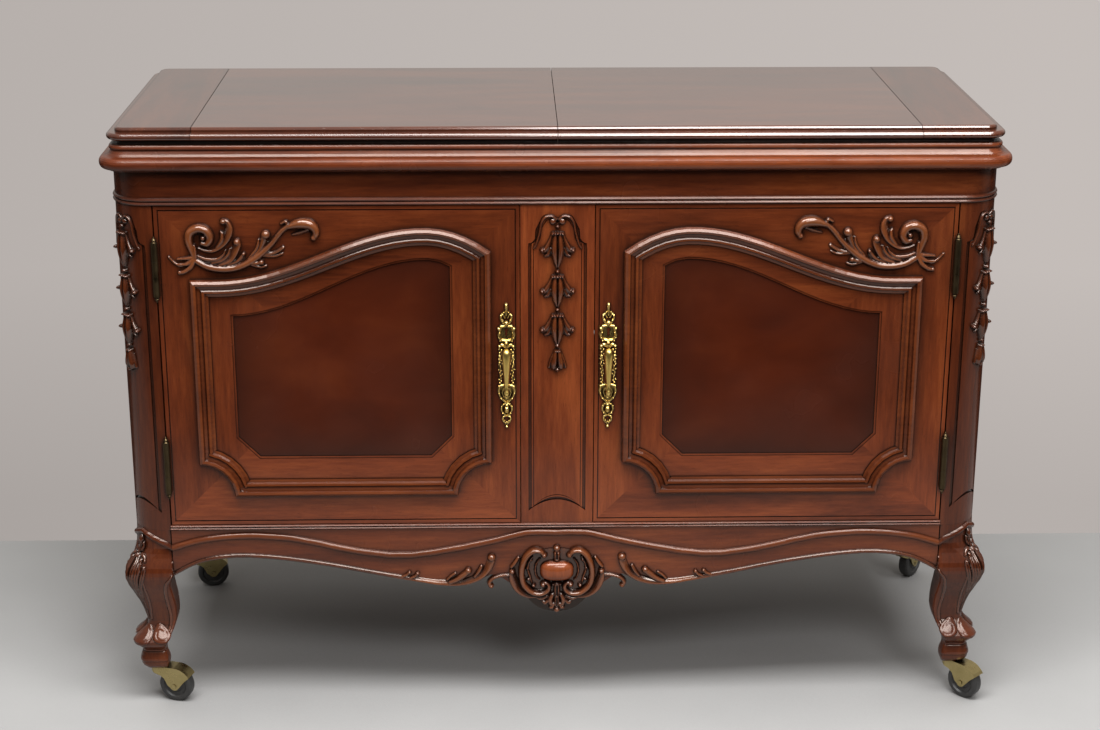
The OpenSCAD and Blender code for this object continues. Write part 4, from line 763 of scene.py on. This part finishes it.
for side, sx in SIDES:
    husks(f"{side}_post_husks", 0.8, [(1.5, 42, 1.7, 3), (7, 45.5, 2, 4), (13, 43, 2, 4),
                                      (16.5, 34, 1.8, 3.6), (18.5, 20, 1.7, 3.2), (23, 6, 1.5, 2.8),
                                      (26.5, 0, 1.4, 2.6)],
          (5, 38, 4.4, 4.2), 30, round_corner(sx, husks_z))

# ---- cartouche and apron leaves

cart_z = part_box("apron_cartouche")[1].z - 54.5 * mm
edge_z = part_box("front_apron")[0].z + 72.5 * mm


def cartouche():
    strokes, knobs = mirrored([
        # the main scroll, curled in at both ends
        [(18.5, 25, 3.6, 10), (24, 31, 4.4, 11), (34, 32, 5, 11.5), (44, 23.5, 5.2, 12), (50, 9, 5.2, 12),
         (51.5, -7, 5.2, 12), (47.5, -22.5, 5, 11.5), (36, -33.5, 5, 11.5), (23, -36, 4.8, 11),
         (13.5, -31, 4.6, 10.5), (11.5, -23, 4.2, 10.5), (16.5, -18, 3.8, 10), (21, -22.5, 3.2, 9)],
        # the leaf behind it
        ([(26, -41, 3.4, 6), (43, -39, 5.4, 7), (56, -29.5, 6.6, 8.5), (63, -15, 6.8, 9.5),
          (65, -2, 5, 9)], "right"),
        [(56, 20, 3, 5), (61, 12, 3.6, 6.5), (66, 6, 3, 6)],
        # the wavy inner band and the leaf tips that break from it
        [(36, 22, 1.8, 6.5), (41, 13, 2, 7), (42.5, 2, 2, 7), (39.5, -8, 2, 7), (37, -18, 1.8, 6.5)],
        [(42, 12, 2.6, 6), (38, 18, 3, 7.5)],
        # two fine mouldings round the boss
        [(25, 19, 1.6, 6), (30, 11, 1.9, 7), (31.5, 0, 2, 7), (29, -10, 1.7, 6.5), (25, -14, 1.4, 6)],
        # the pendant's leaves
        [(6.5, -38, 4.4, 8), (9.5, -45, 4.8, 9.5), (8, -53, 4, 8.5)],
        [(15, -41, 4, 6.5), (22, -44, 4.2, 7), (28, -43, 3, 6)],
        [(13, -48, 4, 7), (17, -51, 4, 7), (20, -49, 3, 6)],
        [(4.5, -53, 3.6, 8), (6.5, -58, 3.6, 8)],
    ], [(18.5, 25, 5, 11), (20, -21.5, 5, 11.5), (65, -1, 5, 10), (34, -23, 3.8, 9), (41.5, -13, 3.2, 8),
        (43, 5, 3, 8), (38, 18, 3.2, 8.5), (8.5, -58, 3.8, 8), (5, -20.5, 2.8, 10)])
    strokes += [
        ([(0, -21, 5.4, 10), (0, -32, 5.6, 10.5), (0, -39, 4.4, 9)], "veined"),
        ([(0, -42, 4.6, 9), (0, -50, 5, 10), (0, -56, 3.4, 8)], "veined"),
        ([(0, 19, 5.2, 9), (0, 26, 5.6, 10), (0, 30, 4, 8)], "veined"),
    ]
    knobs += [(0, -62, 5.4, 9), (0, 35, 5.6, 8.5), (0, -20.5, 2.8, 10.5)]

    def heights(u, v):
        # the ground that joins the scrolls, and its tapered tail behind the pendant
        oval = ((np.abs(u) / 51) ** 2.2 + (np.abs(v) / 35) ** 2.2) ** (1 / 2.2)
        tail = (np.abs(u) < 20 + (v + 38) * 0.72) & (v < -30) & (v > -62)
        web = np.where((oval < 1) | tail, 1.6, BED)
        return np.maximum(carving(u, v, strokes, knobs), web)

    def pillow(u, v):
        q = ((np.abs(u) / 25.5) ** 2.8 + (np.abs(v) / 16.5) ** 2.8) ** (1 / 2.8)
        return np.where(q < 1, 15 * np.sqrt(1 - np.minimum(q, 1) ** 2.4), BED)

    piece = relief("cartouche_carving", "cabinet", wood_carved, (-80, 80), (-78, 50), 0.75,
                   heights, on_front(0, cart_z), -3)
    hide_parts("apron_cartouche")
    relief("cartouche_boss", "cabinet", wood_boss, (-27, 27), (-18, 18), 0.75,
           pillow, on_front(0, cart_z), -2)


cartouche()


def apron_leaves(side, sx):
    """The leaf spray beside the cartouche and the small tendril under it, across from the middle."""
    strokes = [
        ([(95, 15, 6, 8), (97, 7, 6.2, 8.5), (102, -3.5, 6.2, 8), (111, -13, 6, 7.5), (126, -20.5, 5.8, 7),
          (146, -24.5, 5.2, 6.5), (170, -24, 4.4, 6), (194, -20.5, 3.8, 5), (218, -16.5, 3.2, 4.5),
          (240, -13, 2.6, 3.8), (262, -9.5, 2, 3)], "right"),
        [(156, -23, 3.6, 5.5), (146, -18.5, 4.4, 7), (137, -12, 5, 8), (130, -6, 5, 8)],
        [(160, -19, 2.4, 4), (154, -13, 2.6, 4.5), (148, -9, 2.4, 4)],
        [(120, -14, 3, 5), (114, -6, 3.4, 6), (110, 2, 3, 5)],
        [(214, -16, 2.6, 4), (207, -13, 2.8, 4.5), (204, -9, 2.8, 5)],
        [(226, -14, 2.6, 4), (219, -11, 2.8, 4.5), (216, -7.5, 2.8, 5)],
        # the tendril
        [(62, -13, 2.6, 4), (75, -12.5, 2.8, 4.5), (86, -14.5, 3, 5), (94, -18, 3.2, 5.5),
         (98.5, -24, 3.4, 6), (97, -30, 3.2, 5.5)],
    ]
    knobs = [(95, 16, 6.4, 9), (129, -4.7, 5.6, 9), (96, -30, 3.8, 6.5), (203, -8.5, 3.4, 6),
             (215, -7, 3.2, 5.5)]
    relief(f"{side}_apron_leaves", "cabinet", wood_carved, (60, 270), (-38, 30), 0.75,
           (strokes, knobs), on_front(0, edge_z, sx), -3)


for side, sx in SIDES:
    apron_leaves(side, sx)

# ---- legs

# from the outside of the case to the middle of a leg
LEG_IN = 26 * mm


def round_leg(node, sx, rear, reach):
    """Places a carving on a leg: across is an angle round the leg's middle, as mm at the radius reach."""
    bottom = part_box(node)[0].z
    tree = surface([node])
    sy = 1 if rear else -1
    cx = sx * (half_w - LEG_IN)
    cy = (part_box("side_panels")[1].y - LEG_IN) if rear else front_y + LEG_IN
    start = math.atan2(sy, sx)

    def place(u, v, h):
        out = np.empty((len(u), 3))
        for k in range(len(u)):
            a = start + sx * sy * u[k] / reach
            d = Vector((math.cos(a), math.sin(a), 0))
            middle = Vector((cx, cy, bottom + v[k] * mm))
            spot = tree.ray_cast(middle + d * 0.15, -d, 0.2)[0] or middle + d * 0.02
            out[k] = spot + d * (h[k] * mm)
        # no leaf stands out past the cornice
        out[:, 0] = np.clip(out[:, 0], cad_lo.x + 0.1 * mm, -cad_lo.x - 0.1 * mm)
        return out
    return place


def against(tree, sx):
    """Places a carving over pieces of the case as seen straight from the front."""
    def place(u, v, h):
        out = np.empty((len(u), 3))
        for k in range(len(u)):
            x, z = sx * u[k] * mm, v[k] * mm
            hit = tree.ray_cast(Vector((x, front_y - 0.1, z)), Vector((0, 1, 0)), 0.2)[0]
            out[k] = (x, (hit.y if hit else front_y + 0.012) - h[k] * mm, z)
        return out
    return place


def cock_bead(side, sx):
    """The apron's rounded edge, carried on down the face of the leg, and a fillet on the leg's outer side."""
    leg = f"front_{side}_leg"
    tree = surface(["front_apron", leg])
    edge = []
    inner = abs(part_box(leg)[1].x if sx < 0 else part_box(leg)[0].x) / mm
    for x in np.linspace(208, inner - 3, 22):
        hit = tree.ray_cast(Vector((sx * x * mm, front_y + 4 * mm, 0.1)), Vector((0, 0, 1)), 0.3)[0]
        edge.append((x, hit.z / mm + 3.2, 3.4, 3.2))
    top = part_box(leg)[1].z / mm
    face = ((5, -74), (10.5, -82), (13, -93), (13.4, -105), (12, -122), (10, -140), (11, -154), (14, -163))
    outside = ((46, -70), (43, -88), (39.5, -108), (38, -128), (38, -146))
    down = [(inner + x, top + z, 2.6, 2.2) for x, z in face]
    outer = [(inner + x, top + z, 1.9, 1.6) for x, z in outside]
    strokes = [edge + down, outer]
    relief(f"{side}_cock_bead", "cabinet", wood_carved_dark, (200, half_w / mm), (top - 170, top - 36), 0.9,
           (strokes, ()), against(tree, sx), -1.2)


# half width and height of the bead along the apron's top, in mm
BEAD = (5.3, 5.4)


def crest(tree, start, way, z0, z1):
    """Height in mm at which a piece stands out farthest, looking along way from start."""
    seen = []
    for z in np.arange(z0, z1, 0.5):
        hit = tree.ray_cast(Vector((start.x, start.y, z * mm)), way, 0.3)
        if hit[0]:
            seen.append((hit[3], z))
    near = min(seen)[0]
    return float(np.mean([z for d, z in seen if d < near + 0.2 * mm]))


def front_bead():
    """The rounded bead along the top of the apron, following its crest."""
    tree = surface(["front_apron"])
    lo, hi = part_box("front_apron")
    top = hi.z / mm
    rows = []
    for x in np.linspace(lo.x + 2 * mm, hi.x - 2 * mm, 75):
        z = crest(tree, Vector((x, front_y - 0.1, 0)), Vector((0, 1, 0)), top - 50, top - 2)
        rows.append((x / mm, z, *BEAD))
    relief("front_bead", "cabinet", wood_mould, (lo.x / mm, hi.x / mm), (top - 54, top), 0.85,
           lambda u, v: stroke(u, v, rows, n=4), on_front(0, 0), -1)


def corner_bead(side, sx):
    """The apron's bead carried on round the corner over the leg."""
    tree = surface([f"front_{side}_leg"])
    axis = Vector((sx * (half_w - corner_r), front_y + corner_r, 0))
    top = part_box(f"front_{side}_leg")[1].z / mm
    rows = []
    for u in np.linspace(-CORNER_HALF, CORNER_HALF, 21):
        a = math.radians(-45) + u * mm / corner_r
        way = Vector((sx * math.cos(a), math.sin(a), 0))
        rows.append((u, crest(tree, axis + way * 0.1, -way, top - 50, top - 0.5), *BEAD))
    for out, fall, more in ((4, 2.2, 2.2), (7, 2.8, 0.6)):
        rows.append((CORNER_HALF + out, rows[20][1] - fall, *BEAD))
        rows.insert(0, (-CORNER_HALF - out, rows[0][1] - more, *BEAD))
    relief(f"{side}_corner_bead", "cabinet", wood_mould, (-CORNER_HALF - 7, CORNER_HALF + 7),
           (top - 50, top + 4), 0.85, lambda u, v: stroke(u, v, rows, n=4), round_corner(sx, 0), -1)


front_bead()
for make in (corner_bead, cock_bead):
    for side, sx in SIDES:
        make(side, sx)


def knee_leaf(name, node, sx):
    """The leaf that hangs down the corner of a front leg, under a husk."""
    strokes, knobs = mirrored([
        ([(5, 182, 4.2, 5), (5.5, 168, 4, 5.5), (4, 148, 2.8, 4), (3, 122, 1.9, 2.6), (2.6, 98, 1.6, 2),
          (2.4, 78, 1.4, 1.4)], "veined"),
        ([(12.5, 176, 4, 4.4), (12, 162, 3.8, 5), (9, 144, 2.8, 3.6), (7, 120, 1.8, 2.2), (6.4, 98, 1.4, 1.6),
          (6, 80, 1.2, 1)], "veined"),
        ([(20, 166, 3.4, 3.6), (18, 154, 3.4, 4), (13, 136, 2.4, 3), (9.4, 116, 1.4, 1.6)], "veined"),
        [(7, 192, 3.4, 5), (11, 196, 3.4, 5.4), (12, 202, 2.6, 4.4)],
        [(10, 186, 3, 4), (17, 184, 3, 4.2), (21, 178, 2.6, 3.6)],
    ], [(11, 201, 3.4, 5.4), (13, 179, 3.6, 5.2), (20.5, 169, 3, 4.2)])
    strokes += [([(0, 190, 5, 4.6), (0, 200, 6.4, 5.2), (0, 206, 6.4, 5)], "veined")]
    knobs += [(0, 206, 8, 5.8), (0, 184, 4, 5.6)]
    relief(name, "cabinet", wood_carved_dark, (-27, 27), (74, 220), 0.8,
           (strokes, knobs), round_leg(node, sx, False, 40), -2.5)


def foot_volutes(name, node, sx, rear):
    """The rolled scrolls of the foot: one on the outer corner and one on each face, over a cushion toe."""
    def volute(u, v, cu, cv, r, h, turn):
        du, dv = (u - cu), (v - cv)
        q = np.hypot(du, dv) / r
        angle = np.arctan2(dv, du) * turn
        groove = np.exp(-(((q * 2.2 - angle / (2 * math.pi)) % 1.0 - 0.5) / 0.16) ** 2)
        body = h * np.sqrt(1 - np.minimum(q, 1) ** 2.4) - 0.8 * groove * (q > 0.22) * (q < 0.96)
        return np.where(q < 1, body, -(q - 1) * r * FALL)

    def heights(u, v):
        ground = volute(u, v, 0, 55, 15, 4, 1)
        for s in (-1, 1):
            ground = np.maximum(ground, volute(u, v, s * 27, 59, 13, 6.5, s))
        toe = stroke(u, v, [(-44, 21, 8, 2.4), (0, 21, 8, 3), (44, 21, 8, 2.4)])
        return np.maximum(ground, toe)

    relief(name, "cabinet", wood_leg, (-52, 52), (4, 74), 1.0, heights, round_leg(node, sx, rear, 26), -2.5)


for end in ("front", "rear"):
    for side, sx in SIDES:
        if end == "front":
            knee_leaf(f"front_{side}_knee", f"front_{side}_leg", sx)
        foot_volutes(f"{end}_{side}_foot_scrolls", f"{end}_{side}_leg", sx, end == "rear")

# ---- door pulls


def pull(side, sx):
    """A cast door pull: the pierced plate with its keyhole, and a turned grip on two arms."""
    lo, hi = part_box(f"{side}_pull")
    cx, cz = (lo.x + hi.x) / 2, (lo.z + hi.z) / 2
    strokes, knobs = mirrored([
        [(3, 62, 1.6, 3), (8.6, 61, 1.9, 3.6), (11, 54, 2.1, 4), (11, 47, 2, 3.8), (7.5, 41.5, 1.8, 3.4),
         (1, 40, 1.6, 3)],
        [(7, 69, 1.3, 2.4), (8, 76, 1.5, 3), (5, 79, 1.3, 2.6), (2, 74, 1.2, 2.2)],
        [(1, 64, 1.2, 2.4), (5.4, 67, 1.3, 2.8), (6, 71, 1.2, 2.4)],
        [(2, 32, 2.4, 4), (7, 34.5, 2.4, 4.4), (10.5, 31, 1.8, 3.2)],
        [(7, 27, 2.2, 3.2), (10.6, 20, 1.7, 3), (9, 13, 1.4, 2.4)],
        [(9, 13, 1.3, 2.2), (11, 6, 1.5, 2.8), (8.4, 0, 1.2, 2)],
        [(8.4, 0, 1.1, 1.8), (9.6, -8, 1.3, 2.4), (7.6, -14, 1.2, 2)],
        [(7.6, -14, 1.2, 2), (9.4, -20, 1.5, 2.8), (8, -25, 1.3, 2.4)],
        [(5, -26, 1.8, 3), (10.6, -28, 1.9, 3.6), (11.6, -36, 1.8, 3.4), (8, -45, 1.7, 3.2),
         (2, -51, 1.6, 3)],
        [(3, -30, 1.2, 2.4), (6.4, -35, 1.2, 2.6), (4.4, -43, 1.1, 2.4)],
        [(1, -53, 1.4, 2.8), (7, -57, 1.6, 3.2), (7.4, -64, 1.5, 3), (2, -71, 1.4, 2.8)],
        [(1, -72, 1.3, 2.4), (5.6, -74, 1.4, 2.8), (5, -80, 1.2, 2.4), (1, -84, 1.2, 2.2)],
    ], [(11.4, 58, 2.2, 4.2), (10.8, 44.5, 1.8, 4), (8, 77, 1.7, 3.4), (10.4, 32, 2.2, 4.2),
        (10.8, 18, 1.6, 3.2), (11, 5, 1.5, 3), (9.6, -9, 1.4, 2.8), (11, -27.5, 2.1, 4),
        (11.4, -38, 1.8, 3.8), (7.6, -58, 1.7, 3.4), (5.8, -75, 1.5, 3)])
    strokes += [[(0, 78, 1.6, 2.8), (0, 86, 1.9, 3), (0, 91, 2.4, 3.4)],
                ([(0, -28, 3.4, 3.4), (0, -44, 3, 3)], "veined"),
                ([(0, -57, 2.8, 3.4), (0, -65, 3.2, 3.6)], "veined"),
                [(0, -82, 1.6, 2.4), (0, -88, 2, 2.8)]]
    knobs += [(0, 92.5, 2.6, 4), (0, 66, 3, 4), (0, 37, 2.6, 4.4), (0, -29, 3, 4.6), (0, -62, 3.4, 4.6),
              (0, -88.5, 2.2, 3.6)]

    def sized(across, up, half, rise):
        """Finer beside the grip and bolder at both ends."""
        return (across * 0.95, up, half * (0.85 if -26 < up < 28 else 1.15), rise * 1.1)

    strokes = [([sized(*row) for row in rows], shape) for rows, shape in map(shaped, strokes)]
    knobs = [(ku * 0.95, kv, r * 1.2, h * 1.2) for ku, kv, r, h in knobs]
    # the pierced border's beads, and those among the scrolls at both ends
    beads = [(5.2, 70), (3.4, 82), (8.8, 52), (8.2, 40), (7.8, -46), (4.6, -54), (5.6, -68), (3.2, -79)]
    beads = [(*bead, 1.6, 5.0) for bead in beads]
    for k, up in enumerate(range(-22, 30, 5)):
        out = 9.6 + 1.2 * math.sin(k * 2.1)
        beads += [(out, up, 1.7, 4.4), (out - 2.4, up + 2.5, 1.3, 3.2)]
    knobs += mirrored([], beads)[1]

    def heights(u, v):
        ground = carving(u, v, strokes, knobs)
        shield = np.hypot(u / 9, (v - 51) / 13) < 1
        tip = (np.abs(u) < 11 - (-v - 28) * 0.34) & (v < -28) & (v > -50)
        ground = np.where(shield | tip, np.maximum(ground, 0.9), ground)
        keyhole = np.minimum(np.hypot(u / 2.7, (v - 56) / 2.7), np.hypot(u / 1.5, (v - 51) / 5))
        return np.where(keyhole < 1, BED, ground)

    plate = relief(f"{side}_pull_plate", f"{side}_door", bright_brass, (-16, 16), (-93, 98), 0.42,
                   heights, on_front(cx, cz, sx), -0.2)
    grip_y = lo.y + 6.6 * mm
    profile = [(33, 2.4), (31, 5.0), (28, 6.1), (24, 6.4), (19, 6.2), (10, 5.5), (0, 4.6), (-12, 3.5),
               (-22, 2.6), (-27, 2.3), (-29, 3.4), (-31, 4.0), (-33, 3.2), (-35, 2.4)]
    parts = [turned([(r, z) for z, r in profile[::-1]], (cx, grip_y, cz), "z")]
    arm = [(2.6, 1), (2.4, -8), (2.7, -14), (3.6, -19)]
    for at in (29.5, -31):
        parts.append(turned(arm, (cx, grip_y + 19.6 * mm, cz + at * mm), "y"))
    done(joined(parts), f"{side}_pull_grip", f"{side}_door", satin_brass, 50)
    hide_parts(f"{side}_pull")


def turned(rings, at, axis):
    """A turned solid: (radius, height) rings in mm, extruded one after the other from a filled circle."""
    deselect()
    r0, h0 = rings[0]
    bpy.ops.mesh.primitive_circle_add(vertices=28, radius=r0 * mm, fill_type="NGON", location=(0, 0, 0))
    obj = bpy.context.object
    bpy.ops.object.mode_set(mode="EDIT")
    bpy.ops.mesh.select_all(action="SELECT")
    bpy.ops.transform.translate(value=(0, 0, h0 * mm))
    for r, h in rings[1:]:
        bpy.ops.mesh.extrude_region_move(TRANSFORM_OT_translate={"value": (0, 0, (h - h0) * mm)})
        bpy.ops.transform.resize(value=(r / r0, r / r0, 1), center_override=(0, 0, h * mm))
        r0, h0 = r, h
    face_outward()
    if axis == "y":
        obj.rotation_euler = (math.radians(90), 0, 0)
    obj.location = at
    bpy.ops.object.transform_apply()
    return obj


for side, sx in SIDES:
    pull(side, sx)

# ---- grille cloth


def grille():
    """A woven sheet stretched on the front of the speaker baffle."""
    lo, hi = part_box("grille_cloth")
    cloth, across, up = grid(80, 64)
    mesh = cloth.data
    size = (hi.x - lo.x, hi.z - lo.z)
    y = (lo.y + hi.y) / 2 + 0 * across
    put_points(mesh, np.column_stack([lo.x + across * size[0], y, lo.z + up * size[1]]))
    weave = mesh.uv_layers.new(name="weave")
    loops = np.empty(len(mesh.loops), int)
    mesh.loops.foreach_get("vertex_index", loops)
    weave.data.foreach_set("uv", np.column_stack([across * size[0], up * size[1]])[loops].ravel())
    mesh.update()
    bpy.ops.object.modifier_add(type="SOLIDIFY")
    cloth.modifiers[-1].thickness = 0.8 * mm
    cloth.modifiers[-1].offset = 0
    bpy.ops.object.modifier_apply(modifier=cloth.modifiers[-1].name)
    done(cloth, "stretched_grille_cloth", "cabinet", woven("grille_weave"))
    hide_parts("grille_cloth")


grille()

# ---- turntable mat and tuning scale


def platter_mat():
    """A ribbed rubber mat with a raised label ring, lying on the platter."""
    lo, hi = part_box("platter")
    cx, cy, top = (lo.x + hi.x) / 2, (lo.y + hi.y) / 2, hi.z + 0.1 * mm
    outline = [(6, 0), (6, 1.2), (48, 1.2), (48.8, 2.0), (50.2, 2.0), (51, 1.2)]
    for k in range(14):
        r = 54 + k * 4.8
        outline += [(r, 1.2), (r + 0.8, 1.9), (r + 2.2, 1.9), (r + 3.0, 1.2)]
    outline += [(122.5, 1.2), (123, 0)]
    count = len(outline)
    mat, across, up = grid(96, count)
    turn = across * 2 * math.pi
    ring = np.array(outline + outline[:1])[np.rint(up * count).astype(int)] * mm
    r, z = ring[:, 0], ring[:, 1]
    put_points(mat.data, np.column_stack([cx + r * np.cos(turn), cy + r * np.sin(turn), top + z]))
    bpy.ops.object.mode_set(mode="EDIT")
    bpy.ops.mesh.select_all(action="SELECT")
    bpy.ops.mesh.remove_doubles(threshold=0.00001)
    face_outward()
    done(mat, "platter_mat", "platter", rubber, 25)


platter_mat()


def tuning_scale():
    """Printed lines, ticks and plain numbers on the dial, read from the front."""
    lo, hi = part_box("dial_face")
    thick = 0.1 * mm
    top = hi.z + thick / 2
    left, right = lo.x + 36 * mm, hi.x - 36 * mm
    middle = (lo.y + hi.y) / 2
    line = 4 * mm
    parts = []

    def bar(x, y, wide, high):
        deselect()
        bpy.ops.mesh.primitive_cube_add(size=1.0, location=(x, y, top))
        bpy.context.object.scale = (wide, high, thick)
        bpy.ops.object.transform_apply()
        parts.append(bpy.context.object)

    def numbers(texts, y):
        for k, text in enumerate(texts):
            deselect()
            x = left + (right - left) * k / (len(texts) - 1)
            bpy.ops.object.text_add(location=(x, y, top))
            curve = bpy.context.object.data
            curve.body = text
            curve.size = 7.5 * mm
            curve.extrude = thick / 2
            curve.align_x = curve.align_y = "CENTER"
            bpy.ops.object.convert(target="MESH")
            bpy.ops.object.transform_apply()
            parts.append(bpy.context.object)

    for y in (middle + line, middle - line):
        bar((left + right) / 2, y, right - left + 8 * mm, 0.8 * mm)
    for k in range(45):
        x = left + (right - left) * k / 44
        tall = 7 * mm if k % 4 == 0 else 3.5 * mm
        bar(x, middle + line + tall / 2, 0.6 * mm, tall)
        if k % 4 == 2:
            bar(x, middle - line - 2.5 * mm, 0.6 * mm, 5 * mm)
    numbers(("54", "60", "68", "76", "84", "92", "100", "115", "130", "145", "155", "160"), middle + 17 * mm)
    numbers(("88", "92", "96", "100", "104", "108"), middle - 16 * mm)
    done(joined(parts), "dial_scale", "cabinet", bakelite, 30)


tuning_scale()
